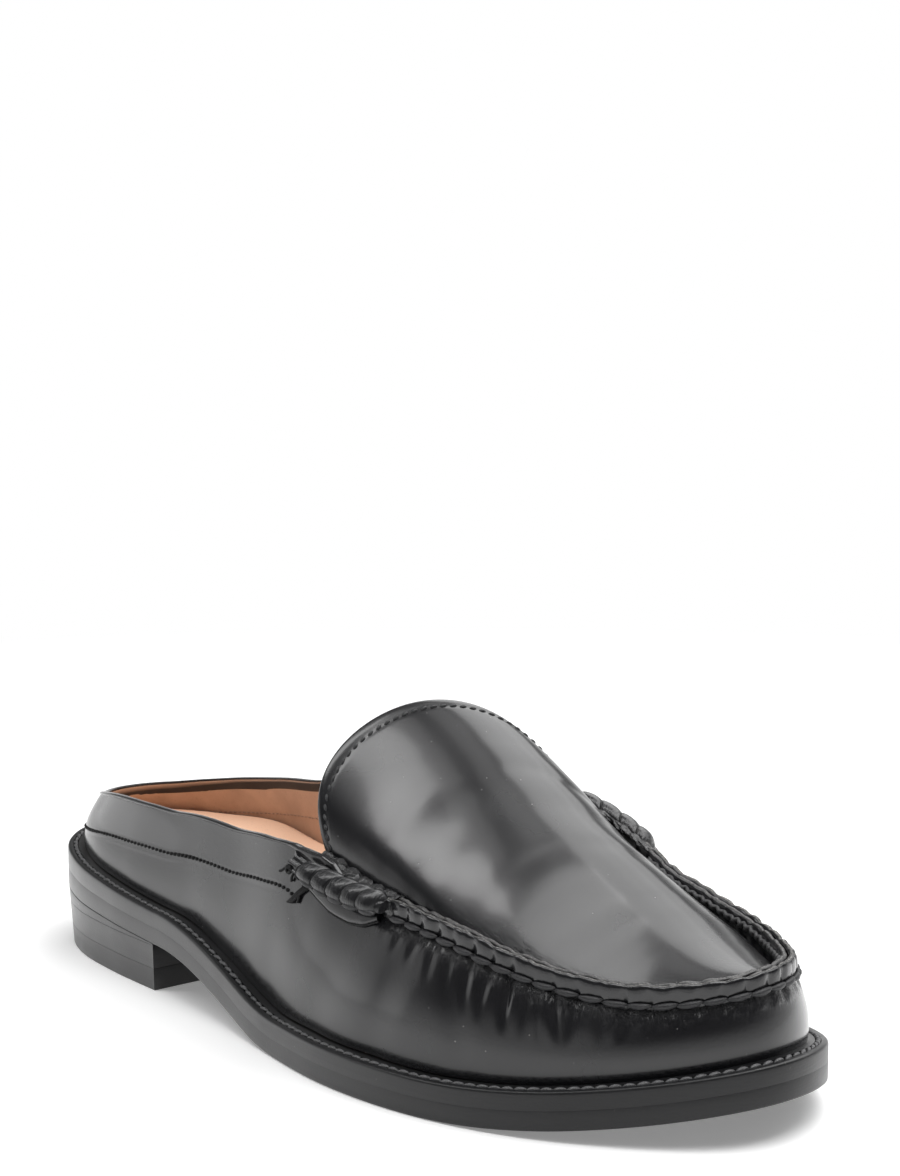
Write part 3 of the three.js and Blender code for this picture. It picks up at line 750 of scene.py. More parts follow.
def sole_edge(name, colour, looks, roughness=0.38, lines=2600.0):
    """Inked edge of the welt, sole and heel: satin, with fine lines along it."""
    material, tree, place = new_material(name)
    streaks = noise(tree, stretched(tree, place, (35.0, 35.0, lines)), 1.0, 3.0)
    cloudy = noise(tree, place, 60.0, 5.0, 0.6)
    dust = place_effect(tree, "Dust specks", {"Vector": place, "Scale": 130.0, "Size": 0.035})
    scratch = place_effect(tree, "Fine scratches", {"Vector": place, "Amount": 1.0})
    skin = blend_colour(tree, ramp(tree, cloudy, 0.3, 0.7), [c * 0.8 for c in colour], colour)
    skin = blend_colour(tree, maths(tree, "MULTIPLY", streaks, 0.35), skin, [c * 0.6 for c in colour])
    skin = blend_colour(tree, maths(tree, "MULTIPLY", dust, 0.5), skin, looks.dust)
    skin = blend_colour(tree, maths(tree, "MULTIPLY", scratch, 0.15), skin, looks.dust)
    normal = bump(tree, streaks, 0.00004)
    normal = bump(tree, noise(tree, place, 1800.0, 2.0), 0.00003, normal)
    along = add(tree, "ShaderNodeSeparateXYZ", {0: place}).outputs["X"]
    polish = ramp(tree, along, -0.01, 0.1, 0.5, 0.24)
    set_shader(tree, {
        "Base Color": skin,
        "Roughness": ramp(tree, cloudy, 0.3, 0.7, roughness - 0.05, roughness + 0.06),
        "Normal": normal,
        "Specular IOR Level": polish,
        "Coat Weight": polish,
        "Coat Roughness": 0.3,
    })
    return material


def waxed_thread(name, colour, gloss=0.5):
    """Waxed thread: dark, with fine twisted fibres."""
    material, tree, place = new_material(name)
    fibres = noise(tree, place, 3800.0, 2.0)
    skin = blend_colour(tree, ramp(tree, fibres, 0.4, 0.7), colour, [c * 2.2 + 0.01 for c in colour])
    set_shader(tree, {
        "Base Color": skin,
        "Roughness": ramp(tree, fibres, 0.3, 0.7, 0.36, 0.55),
        "Normal": bump(tree, fibres, 0.00012),
        "Specular IOR Level": gloss,
    })
    return material


def tread_rubber(name, colour):
    """Underside of the sole: matt rubber with a fine ribbed tread."""
    material, tree, place = new_material(name)
    ribs = add(
        tree,
        "ShaderNodeTexWave",
        {"Vector": place, "Scale": 90.0, "Distortion": 0.0},
        bands_direction="DIAGONAL",
    ).outputs["Fac"]
    cloudy = noise(tree, place, 50.0, 5.0)
    skin = blend_colour(tree, ramp(tree, cloudy, 0.3, 0.7), [c * 0.75 for c in colour], colour)
    normal = bump(tree, ribs, 0.0003)
    normal = bump(tree, noise(tree, place, 1400.0, 3.0), 0.00006, normal)
    set_shader(tree, {
        "Base Color": skin,
        "Roughness": ramp(tree, cloudy, 0.3, 0.7, 0.55, 0.72),
        "Normal": normal,
    })
    return material


MATERIALS = {
    "leather": polished_leather,
    "ridge": lambda name, looks: polished_leather(name, looks, 3.0),
    "lining": lambda name, looks: soft_leather(name, looks.lining, looks, 0.62),
    "sock": lambda name, looks: soft_leather(name, looks.sock, looks, 0.5, 0.93),
    "edge": lambda name, looks: sole_edge(name, looks.edge, looks),
    "top_piece": lambda name, looks: sole_edge(name, looks.top_piece, looks, 0.48, 1200.0),
    "tread": lambda name, looks: tread_rubber(name, looks.top_piece),
    "thread": lambda name, looks: waxed_thread(name, looks.thread),
    # Darker thread. It also colours the flap's dark edge cord, which is partly painted shade.
    "dark_thread": lambda name, looks: waxed_thread(name, [c * 0.2 for c in looks.thread], 0.2),
    "welt_thread": lambda name, looks: waxed_thread(name, looks.welt_thread),
    "chain": lambda name, looks: waxed_thread(name, looks.chain),
    "lining_thread": lambda name, looks: waxed_thread(name, [c * 0.4 for c in looks.lining]),
}


def material_of(key):
    """The material of that key, built once from the looks."""
    name = "mule_" + key
    made = bpy.data.materials.get(name)
    return made or MATERIALS[key](name, bpy.context.scene.mule_looks)


# Sole and heel


def section_tube(shell, profile, angles, columns, lift=0.0):
    """A slab between the shoe's two sides, given its rows of points from the lowest up."""
    lateral, medial = profile(angles), profile(TURN - angles)
    share = (1 - np.cos(np.pi * np.arange(columns + 1) / columns)) / 2
    share = share[:, None, None]
    top = mix(lateral[-1][None], medial[-1][None], share)
    top[..., 2] += lift * np.sin(np.pi * share[..., 0])
    bottom = mix(lateral[0][None], medial[0][None], share)
    for face in (lateral, medial, top):
        shell.grid(face)
    shell.grid(bottom, 1)
    return lateral, medial, share


# Rounded corners of the sole's layers: inset and distance from the face
TREAD_CORNER = ((0.7, 0.0), (0.3, 0.1), (0.08, 0.3), (0.0, 0.7))
SEAM_CORNER = ((0.0, 0.03), (0.008, 0.008), (0.03, 0.0))
HEEL_CORNER = ((0.16, 0.0), (0.04, 0.04), (0.0, 0.16))
HEEL_TOP_CORNER = ((0.0, 0.14), (0.04, 0.04), (0.14, 0.0))


def layer_rows(low, high, low_corner, high_corner):
    """Insets and heights up the edge of one layer."""
    rows = [(inset, low + away) for inset, away in low_corner]
    rows.append((0.0, mix(low, high, 0.5)))
    return rows + [(inset, high - away) for inset, away in high_corner]


def outsole_profile(angle):
    """Rows of points up the sole's edge, closed up to the welt."""
    x = length_at(angle)
    rows = layer_rows(underside(x), outsole_top(x) + GAP - JOINT, TREAD_CORNER, SEAM_CORNER)
    return np.stack([at_edge(angle, inset, z) for inset, z in rows])


def heel_profile(low, high):
    """Rows of points up one layer of the heel, tapered to the floor and cut at the breast."""

    def profile(angle):
        x = length_at(angle)
        points = []
        for bevel, z in layer_rows(low(x), high(x), HEEL_CORNER, HEEL_TOP_CORNER):
            inset = HEEL_TAPER * (1 - z / HEEL_HEIGHT) + bevel
            row = at_edge(angle, inset, z)
            row[:, 0] = np.minimum(row[:, 0], HEEL_LENGTH - inset)
            points.append(row)
        return np.stack(points)

    return profile


def heel_layers():
    """Each heel node with the heights of its faces and its material."""
    lift_base = TOP_PIECE_HEIGHT + GAP
    wedge_base = lift_base + LIFT_HEIGHT + GAP
    return {
        "heel_top_piece": (lambda x: 0 * x, lambda x: 0 * x + lift_base - JOINT, "top_piece"),
        "heel_lift": (lambda x: 0 * x + lift_base, lambda x: 0 * x + wedge_base - JOINT, "edge"),
        "heel_wedge": (lambda x: 0 * x + wedge_base, lambda x: underside(x) - JOINT, "edge"),
    }


def make_heel_layer(node, low, high, key):
    shell = Shell()
    angles = np.linspace(0, float(angle_at("lateral", HEEL_LENGTH / SOLE_LENGTH)), 160)
    lateral, medial, share = section_tube(shell, heel_profile(low, high), angles, 12)
    shell.grid(mix(lateral[:, -1][:, None], medial[:, -1][:, None], share[None, :, 0]))
    slot = "top_piece_rubber" if key == "top_piece" else "heel_stack"
    shell.make(node + "_body", (key, "tread"), 40, slot, node)


def make_outsole():
    shell = Shell()
    angles = np.linspace(0, np.pi, 520)
    section_tube(shell, outsole_profile, angles, 24)
    shell.make("outsole_body", ("edge", "tread"), 40, "outsole_rubber", "outsole")


# Welt and sock


# The welt's lower corner over its base, and its upper corner over its top: inset and height
WELT_FOOT = ((0.03, 0.0), (0.008, 0.008), (0.0, 0.03))
WELT_SHOULDER = ((0.0, -1.6), (0.0, -0.75), (0.1, -0.32), (0.32, -0.08), (0.7, 0.0), (1.1, 0.0))


def welt_face():
    """Insets and heights over the welt's top, in from its edge and through the stitch channel."""
    way = np.linspace(0, np.pi, 9)
    across = CHANNEL_INSET - CHANNEL_WIDTH / 2 * np.cos(way)
    channel = zip(across, -CHANNEL_DEPTH * np.sin(way) ** 1.4)
    return WELT_SHOULDER + tuple(channel) + tuple((inset, 0.0) for inset in (4.2, 6.0, 8.5, WELT_REACH))


def make_welt():
    angles = np.linspace(0, TURN, 1041)
    x = length_at(angles)
    base, top = outsole_top(x) + GAP, welt_top(x)
    rows = [at_edge(angles, inset, base + up) for inset, up in WELT_FOOT]
    rows += [at_edge(angles, inset, top + up) for inset, up in welt_face()]
    rows += [at_edge(angles, WELT_REACH, base), rows[0]]
    shell = Shell()
    shell.grid(np.stack(rows))
    shell.make("welt_strip", ("edge",), 50, "welt_leather", "welt")


def arch_share(x, angle):
    swell = bell(x / SOLE_LENGTH - ARCH_MIDDLE, ARCH_SPREAD)
    return np.where(angle > np.pi, swell, 0.0)


def cushion(x, angle):
    """How much the sock's cushion stands over the insole's plain top, on the medial side."""
    share = x / SOLE_LENGTH
    rise = CUSHION_RISE * bell(share - CUSHION_MIDDLE, CUSHION_SPREAD)
    return np.where(angle > np.pi, rise - CUSHION_DIP * bell(share, 0.07), 0.0)


def inset_inside(angle, height):
    """Inset of the lining's face at an angle and a height."""
    inset, z = wall(angle[:, None], DROP_T, LEATHER)
    return np.array([np.interp(h, zs, i) for h, zs, i in zip(height, z, inset)])


# The sock's rounded edge: depth under its top, and how far in
SOCK_EDGE = ((2.6, 0.0), (1.3, 0.05), (0.7, 0.3), (0.3, 0.75), (0.08, 1.4), (0.0, 2.2))


def sock_profile(angle):
    """Rows of points from under the welt up to the sock's rounded edge."""
    x = length_at(angle)
    base = welt_top(x) + GAP
    top = base + PAD_RISE + ARCH_LIFT * arch_share(x, angle) + cushion(x, angle)
    rows = [at_edge(angle, WELT_REACH + GAP, z) for z in (outsole_top(x) + GAP, base)]
    for level, extra in [(base + 0.02, 0.0)] + [(top - drop, inward) for drop, inward in SOCK_EDGE]:
        rows.append(at_edge(angle, inset_inside(angle, level) + GAP / 2 + extra, level))
    return np.stack(rows)


def make_sock():
    shell = Shell()
    angles = np.linspace(0, np.pi, 300)
    section_tube(shell, sock_profile, angles, 40, -CUP_DEPTH)
    made = shell.make("sock_bed", ("sock", "lining"), 50, "sock_leather", "insole")


# Upper


# How far down the wall the pleats reach, in millimetres, and their depth as a share of the deepest
PLEAT_AT = (0.0, 0.62, 0.7, 0.79, 0.84, 0.88, 0.905, 0.94, 0.98, 1.0)
pleat_reach = round_curve(
    PLEAT_AT,
    (6, 6, 9, 12, 12, 10.5, 8.6, 5.0, 3.6, 3.6),
    (6, 6, 6, 8, 8, 7, 6, 4.6, 3.6, 3.6),
)
pleat_share = round_curve(
    PLEAT_AT,
    (0, 0, 0.18, 0.52, 0.9, 1.0, 0.82, 0.45, 0.33, 0.33),
    (0, 0, 0.22, 0.45, 0.52, 0.52, 0.45, 0.37, 0.33, 0.33),
)

# Soft hollows of the wall: side, share of the length, drop, length, width, depth, slant
WALL_HOLLOWS = (
    ("lateral", 0.60, 24.0, 16.0, 6.0, 0.5, 0.5),
    ("lateral", 0.69, 20.0, 22.0, 5.0, 0.45, 0.25),
    ("lateral", 0.50, 30.0, 18.0, 7.0, 0.35, 0.3),
    ("lateral", 0.33, 22.0, 20.0, 8.0, 0.3, -0.3),
    ("lateral", 0.78, 17.0, 14.0, 4.0, 0.3, -0.2),
    ("medial", 0.62, 28.0, 20.0, 6.0, 0.5, 0.4),
    ("medial", 0.72, 20.0, 18.0, 5.0, 0.4, 0.2),
    ("medial", 0.45, 34.0, 20.0, 8.0, 0.4, 0.3),
)


def chosen(key):
    """A size of the panel, in millimetres."""
    return getattr(bpy.context.scene.mule_sizes, key) / MM


def stitch_wave(run, drop=0.0):
    """Depth of the pull at each stitch hole of the raised seam, from 0 between to 1 at a hole."""
    count = stitch_count(chosen("seam_pitch"))
    rng = np.random.default_rng(SEED)
    lean = rng.normal(0, 0.02, count + 2)
    strength = np.clip(1 + rng.normal(0, 0.42, count + 2), 0.3, 1.7)
    phase = stitch_phase(run, count)
    hole = np.clip(np.round(phase).astype(int), 0, count + 1)
    phase = phase + lean[hole] * drop
    return (0.5 + 0.5 * np.cos(TURN * phase)) ** 2 * strength[hole]


def seam_line_share(angle):
    """Where the quarter's stitched line runs: behind the tongue's corners."""
    start = angle_at("lateral", SEAM_LINE_FRONT["lateral"])
    end = angle_at("medial", SEAM_LINE_FRONT["medial"])
    return 1 - ease((angle - start) / 0.03 + 1) * ease((end - angle) / 0.03 + 1)


def wall_relief(angle, drop):
    """How far the wall's skin stands out of its plain form, in millimetres."""
    run = run_at(angle)
    stands = stand_share(angle)
    pull = stitch_wave(run, drop)
    fade = ease(1.15 - drop / np.maximum(pleat_reach(angle), 1.0)) * ease(drop / 0.8 + 0.35)
    relief = -chosen("pleats") * pleat_share(angle) * (pull - 0.5) * fade * stands
    relief = relief - stands * 0.3 * (1 - ease((drop - 0.4) / 3))
    line = seam_line_share(angle)
    relief = relief - line * GROOVE * bell(drop - SEAM_LINE_DROP, GROOVE_WIDTH)
    relief = relief - line * GROOVE * 0.4 * bell(drop - SEAM_LINE_DROP - 1.4, 0.4)
    relief = relief + line * LAP_HEIGHT * (1 - ease((drop - SEAM_LINE_DROP - 0.3) / 0.9))
    for side, share, level, length, width, depth, slant in WALL_HOLLOWS:
        along = run - run_at(angle_at(side, share))
        over = drop - level
        turned = along * math.cos(slant) + over * math.sin(slant)
        crossed = -along * math.sin(slant) + over * math.cos(slant)
        relief = relief - depth * bell(turned, width) * bell(crossed, length)
    return np.where(relief < 0, DEEPEST_RELIEF * np.tanh(relief / DEEPEST_RELIEF), relief)


# Change in height of the collar's lateral edge, so that it runs straight in behind the roll
RISE_AT = (0.06, 0.1, 0.2, 0.3, 0.36, 0.45, 0.49, 0.51, 0.53, 0.545, 0.56, 0.575, 0.59, 0.605)
RISE = (0.0, 0.25, 0.2, 0.1, 0.0, 0.0, -0.3, -0.2, 0.7, 2.5, 4.2, 4.4, 2.7, 0.0)


def collar_rise(angle):
    share = length_at(angle) / SOLE_LENGTH
    return np.where(angle < np.pi, np.interp(share, RISE_AT, RISE), 0.0)


def upper_angles():
    """Stations round the upper, closer together along the raised seam."""
    first, last = (float(run_at(angle_at(side, TONGUE_CORNER[side]))) for side in TONGUE_CORNER)
    rear = np.linspace(0, first, int(first / 1.4))
    seam = np.linspace(first, last, int((last - first) / 0.46))
    back = np.linspace(last, RIM_RUNS[-1], int((RIM_RUNS[-1] - last) / 1.4))
    runs = np.concatenate([rear[:-1], seam[:-1], back])
    angles = angle_of(runs)
    angles[-1] = TURN
    return angles


def wall_rows(angles, rows, depth, top_drop=0.0):
    """Insets, heights and drops up the wall, rows closer near the rim."""
    t = 1 - (1 - np.linspace(0, 1, rows)) ** 1.6
    t_end = t_at_drop(angles, top_drop) if top_drop else np.ones(len(angles))
    t = t[None, :] * t_end[:, None]
    fine = np.linspace(0, 1, 161)[None, :] * np.ones((len(angles), 1))
    table = wall_drop(angles[:, None], fine)
    drop = np.array([np.interp(row, fine[0], level) for row, level in zip(t, table)])
    inset, z = wall(angles[:, None], t, depth)
    return inset, z, drop


# The standing edge: share of the layer inwards and share of the height
RIDGE_SECTION = (
    (0.0, 0.12), (-0.08, 0.28), (-0.14, 0.46), (-0.14, 0.62), (-0.1, 0.78), (0.0, 0.9),
    (0.16, 0.98), (0.36, 1.0), (0.62, 1.0), (0.86, 0.98), (1.0, 0.9), (1.02, 0.6), (1.0, 0.25),
)
WALL_ROWS, INNER_ROWS = 62, 24
CUT_WAVER = 0.2


def make_upper():
    angles = upper_angles()
    grid, run = angles[:, None], run_at(angles)
    inset, z, drop = wall_rows(angles, WALL_ROWS, 0.0)
    lean = wall(grid, wall_t(angles, drop), 1.0)
    relief = wall_relief(grid, drop)
    inset = inset - (lean[0] - inset) * relief
    z = z - (lean[1] - z) * relief
    rim_i, rim_z = rim_inset(angles), rim_height(angles)
    stands = stand_share(angles)
    height = mix(COLLAR_LIP + collar_rise(angles), RIDGE_HEIGHT, stands)
    pull = stitch_wave(run)
    rough = edge_waver(run, CUT_WAVER, 7) + block_height(run)
    rows_i, rows_z = [], []
    for inward, up in RIDGE_SECTION:
        face = max(0.0, 1 - abs(up - 0.5)) * (inward < 0.5)
        block = (0.5 * pull + block_lean(run)) * stands * face
        rows_i.append(rim_i + inward * RIDGE_LAYER + block)
        rows_z.append(rim_z + up * height + stands * up**3 * (rough - 0.25 * pull))
    inner_i, inner_z, inner_drop = wall_rows(angles, INNER_ROWS, OUTER_LEATHER)
    fold = (1 - stands)[:, None] * (1 - ease((inner_drop - TURNED_EDGE) / 0.7))
    deep_i, deep_z = wall(grid, wall_t(angles, inner_drop), LEATHER + 0.05)
    inner_i = mix(inner_i, deep_i, fold)[:, ::-1]
    inner_z = mix(inner_z, deep_z, fold)[:, ::-1]
    all_i = np.concatenate([inset, np.stack(rows_i, 1), inner_i, inset[:, :1]], 1)
    all_z = np.concatenate([z, np.stack(rows_z, 1), inner_z, z[:, :1]], 1)
    inside = WALL_ROWS + len(rows_i)
    raw, pucker, turned = (np.zeros_like(all_i) for _ in range(3))
    crest = np.array([up == 1.0 for inward, up in RIDGE_SECTION])
    raw[:, WALL_ROWS:inside] = crest * stands[:, None]
    pucker[:, :WALL_ROWS] = (0.35 + pleat_share(grid)) * stands[:, None] * ease(1.1 - drop / 5.0)
    turned[:, inside:-1] = np.maximum(fold, 1 - ease(inner_drop / 2.5))[:, ::-1]
    skin = np.zeros((all_i.shape[1] - 1, 1), int)
    skin[WALL_ROWS : inside - 1] = 1
    skin[inside - 1 :] = 2
    shell = Shell()
    points, spread = at_edge(grid, all_i, all_z), upper_spread(angles, all_i, all_z)
    shell.grid(
        points.transpose(1, 0, 2),
        skin,
        spread.transpose(1, 0, 2),
        raw=raw.T,
        pucker=pucker.T,
        turned=turned.T,
    )
    shell.make("upper_leather", ("leather", "ridge", "lining"), 62, "upper_leather", "upper")


def wall_t(angles, drop):
    """The wall's t for rows of drops."""
    table = wall_drop(angles[:, None], DROP_T * np.ones((len(angles), 1)))
    return np.array([np.interp(-d, -row, DROP_T[0]) for d, row in zip(drop, table)])


def edge_waver(run, size, seed):
    """A slow random waver along a cut edge."""
    rng = np.random.default_rng(SEED + seed)
    knots = np.arange(0, RIM_RUNS[-1] + 4, 1.3)
    return size * np.interp(run, knots, rng.uniform(-1, 1, len(knots)))


def block_height(run):
    """Small steps in the height of the standing edge, one for each stitch."""
    count = stitch_count(chosen("seam_pitch"))
    steps = np.random.default_rng(SEED + 21).uniform(-0.22, 0.22, count + 3)
    return steps[np.clip(np.floor(stitch_phase(run, count)).astype(int) + 1, 0, count + 2)]


def block_lean(run):
    """How each stitch's block of the standing edge leans, in millimetres inwards."""
    count = stitch_count(chosen("seam_pitch"))
    rng = np.random.default_rng(SEED + 33)
    lean, push = rng.uniform(-0.55, 0.55, count + 3), rng.uniform(-0.1, 0.1, count + 3)
    phase = stitch_phase(run, count)
    block = np.clip(np.floor(phase).astype(int) + 1, 0, count + 2)
    return lean[block] * (phase % 1 - 0.5) + push[block]


def upper_spread(angles, inset, z):
    """Map of the wall: the run round the rim, and the way round its section."""
    steps = np.hypot(np.diff(inset, axis=1), np.diff(z, axis=1))
    way = np.concatenate([np.zeros((len(angles), 1)), np.cumsum(steps, axis=1)], axis=1)
    run = np.broadcast_to(run_at(angles)[:, None], way.shape)
    return np.stack([run, way], -1)


def make_lining():
    angles = np.concatenate([upper_angles()[::2][:-1], [TURN]])
    out_i, out_z, drop = wall_rows(angles, 22, OUTER_LEATHER + 0.06, TURNED_EDGE - 0.5)
    in_i, in_z = wall(angles[:, None], wall_t(angles, drop)[:, ::-1], LEATHER)
    in_i = in_i - 0.12 * bell(drop[:, ::-1] - SEAM_LINE_DROP, 0.5)
    all_i = np.concatenate([out_i, in_i, out_i[:, :1]], 1)
    all_z = np.concatenate([out_z, in_z, out_z[:, :1]], 1)
    shell = Shell()
    shell.grid(at_edge(angles[:, None], all_i, all_z).transpose(1, 0, 2))
    shell.make("upper_lining", ("lining",), 50, "lining_leather")


# Apron


APRON_ROWS = 300
APRON_COLUMNS = 90


def apron_sheet():
    """The apron's plain upper face: its shares, its base lines and its points."""
    s = np.linspace(0, 1, APRON_ROWS)
    share = (1 - np.cos(np.pi * np.arange(APRON_COLUMNS + 1) / APRON_COLUMNS)) / 2
    start = {side: float(angle_at(side, TONGUE_CORNER[side])) for side in TONGUE_CORNER}
    lateral = mix(start["lateral"], np.pi, s)
    medial = mix(start["medial"], np.pi, s)
    inset = 2 * RIDGE_LAYER + GAP
    low = at_edge(lateral, rim_inset(lateral) + inset, rim_height(lateral))
    high = at_edge(medial, rim_inset(medial) + inset, rim_height(medial))
    points = mix(low[:, None], high[:, None], share[None, :, None])
    run = (1 - s)[:, None]
    power = mix(lateral_power(run), medial_power(run), share[None])
    arch = np.sin(np.pi * share**CROWN_SKEW).clip(0)[None] ** power
    sweep = np.sin(np.pi * share**SWEEP_SKEW).clip(0)[None] ** SWEEP_POWER
    points[..., 2] += INSTEP_CROWN * crown_share(run) * arch
    points[..., 0] -= TONGUE_SWEEP * sweep_share(run) * sweep
    return s, share, lateral, medial, points


def sheet_normals(points):
    down = np.gradient(points, axis=0)
    over = np.gradient(points, axis=1)
    normal = np.cross(down, over)
    size = np.linalg.norm(normal, axis=-1, keepdims=True)
    return normal / np.maximum(size, 1e-9)


def apron_relief(points, s, lateral, medial):
    """How far the apron's skin stands out of its plain form, and how far it is from the seam."""
    over = np.linalg.norm(np.diff(points, axis=1), axis=-1)
    over = np.concatenate([np.zeros((len(points), 1)), np.cumsum(over, axis=1)], 1)
    down = np.linalg.norm(np.diff(points, axis=0), axis=-1)
    back = np.concatenate([np.zeros((1, points.shape[1])), np.cumsum(down, axis=0)], 0)
    from_lateral, from_medial = over, over[:, -1:] - over
    relief = np.zeros(over.shape)
    for away, angle in ((from_lateral, lateral), (from_medial, medial)):
        stands = stand_share(angle)[:, None]
        pull = stitch_wave(run_at(angle)[:, None])
        relief -= stands * 0.22 * (pull - 0.3) * bell(away, 3.2)
        relief -= stands * 0.3 * bell(away - 1.2, 1.6)
    relief -= GROOVE * 2.4 * bell(back - TONGUE_STITCH_INSET, 0.4)
    relief += 0.12 * bell(back - 1.2, 0.9)
    across = np.linspace(0, 1, points.shape[1])[None]
    for place, depth, width, bow in APRON_WAVES:
        line = s[:, None] - place - bow * (2 * across - 1) ** 2
        relief -= depth * bell(line, width) * np.sin(np.pi * across)
    return relief, np.minimum(from_lateral, from_medial)


# Soft creases across the apron: place from the tongue to the toe, depth, width and bow
APRON_WAVES = (
    (0.115, 0.1, 0.02, 0.02),
    (0.2, 0.08, 0.025, -0.015),
    (0.29, 0.12, 0.022, 0.03),
    (0.43, 0.04, 0.03, 0.0),
)


# The apron's standing edge, up over it and down to its base: as for the ridge
APRON_EDGE = (
    (0, 0.5), (-0.02, 0.7), (0.04, 0.88), (0.2, 0.98), (0.45, 1.0), (0.75, 0.98), (0.94, 0.88),
    (1.0, 0.7), (1.0, 0.5), (1.0, 0.3), (1.04, 0.14), (1.12, 0.03),
)
APRON_CREST = (0, 0, 0, 0.2, 0.8, 0.2, 0, 0, 0, 0, 0, 0)
LOW_ROWS = 12


def apron_side(angle):
    """The standing edge at one side: over its top from mid height, and down its outer face."""
    base, rim = rim_inset(angle) + RIDGE_LAYER + GAP, rim_height(angle)
    stands, wave = stand_share(angle), stitch_wave(run_at(angle))
    height = RIDGE_HEIGHT * stands
    uneven = edge_waver(run_at(angle), CUT_WAVER, 3) + block_height(run_at(angle))
    rows = []
    for inward, share in APRON_EDGE:
        pinch = 0.3 * wave * stands * (inward > 0.5) * max(0.0, 1 - abs(share - 0.5))
        lift = share**3 * stands * (uneven - 0.2 * wave)
        rows.append(at_edge(angle, base + inward * RIDGE_LAYER - pinch, rim + share * height + lift))
    levels = [mix(0.5 * height, -APRON_LEATHER, k / LOW_ROWS) for k in range(LOW_ROWS)]
    return np.stack(rows, 1), np.stack([at_edge(angle, base, rim + level) for level in levels], 1)


def make_apron():
    s, share, lateral, medial, top = apron_sheet()
    relief, away = apron_relief(top, s, lateral, medial)
    normal = sheet_normals(top)
    inner = np.sin(np.pi * share).clip(0)[None, :, None] > 1e-6
    under = top - normal * APRON_LEATHER
    top = np.where(inner, top + normal * relief[..., None], top)
    (left_up, left_low), (right_up, right_low) = apron_side(lateral), apron_side(medial)
    upper_half = np.concatenate([left_up, top[:, 1:-1], right_up[:, ::-1]], 1)
    lower_half = np.concatenate([left_low, under[:, 1:-1], right_low[:, ::-1]], 1)
    upper_half, lower_half, folds = fold_edge(upper_half, lower_half)
    loop = np.concatenate([upper_half, lower_half[:, ::-1]], 1)
    total, side = upper_half.shape[1], len(APRON_EDGE)
    stands = np.concatenate([np.zeros(folds), stand_share(lateral)])[:, None]
    stands_medial = np.concatenate([np.zeros(folds), stand_share(medial)])[:, None]
    raw, pucker = np.zeros(loop.shape[:2]), np.zeros(loop.shape[:2])
    raw[:, :side] = APRON_CREST * stands
    raw[:, total - side : total] = APRON_CREST[::-1] * stands_medial
    close = np.concatenate([np.zeros((folds, away.shape[1])), 0.5 * bell(away, 4.0)])
    pucker[:, side : total - side] = close[:, 1:-1] * stands
    skin = np.zeros((loop.shape[1] - 1, 1), int)
    skin[: side - 1] = 1
    skin[total - side : total - 1] = 1
    skin[total:] = 2
    skin[total : total + LOW_ROWS] = 1
    skin[-LOW_ROWS:] = 1
    shell = Shell()
    shell.grid(loop.transpose(1, 0, 2), skin, raw=raw.T, pucker=pucker.T)
    shell.make("apron_leather", ("leather", "ridge", "lining"), 62, "upper_leather", "apron")


def fold_edge(upper_half, lower_half):
    """Rows of points that round off the tongue's folded edge, before the first row."""
    middle = (upper_half[0] + lower_half[0]) / 2
    reach = upper_half[0] - middle
    ahead = upper_half[0] - upper_half[2]
    size = np.linalg.norm(ahead, axis=-1, keepdims=True)
    ahead = ahead / np.maximum(size, 1e-9) * np.linalg.norm(reach, axis=-1, keepdims=True)
    ups, lows = [], []
    for turn in np.radians((90, 72, 54, 36, 18)):
        out = ahead * math.sin(turn)
        ups.append(middle + reach * math.cos(turn) + out)
        lows.append(middle - reach * math.cos(turn) + out)
    upper_half = np.concatenate([np.stack(ups), upper_half])
    lower_half = np.concatenate([np.stack(lows), lower_half])
    return upper_half, lower_half, len(ups)


# Rolled ends of the seam


def roll_outline():
    """A smooth closed outline through the section's corners."""
    corners = np.array(ROLL_SECTION)
    size = len(corners)
    t = np.linspace(0, size, 41)
    k = np.floor(t).astype(int)
    f = (t - k)[:, None]
    a, b, c, d = (corners[(k + j) % size] for j in (-1, 0, 1, 2))
    bend, twist = 2 * a - 5 * b + 4 * c - d, 3 * b - a - 3 * c + d
    return 0.5 * (2 * b + (c - a) * f + bend * f**2 + twist * f**3)


def roll_angle(side, share, behind=0.0, ahead=0.0):
    """Angles along a roll, at shares of its length."""
    start = float(angle_at(side, ROLL_BACK[side] + behind))
    return mix(start, float(angle_at(side, ROLL_FRONT[side] + ahead)), share)


def loop_lean(turn):
    """How far each loop leans forward, as a share of the looped part, round its section."""
    return ROLL_BOW * np.cos(turn - 0.57 * TURN)


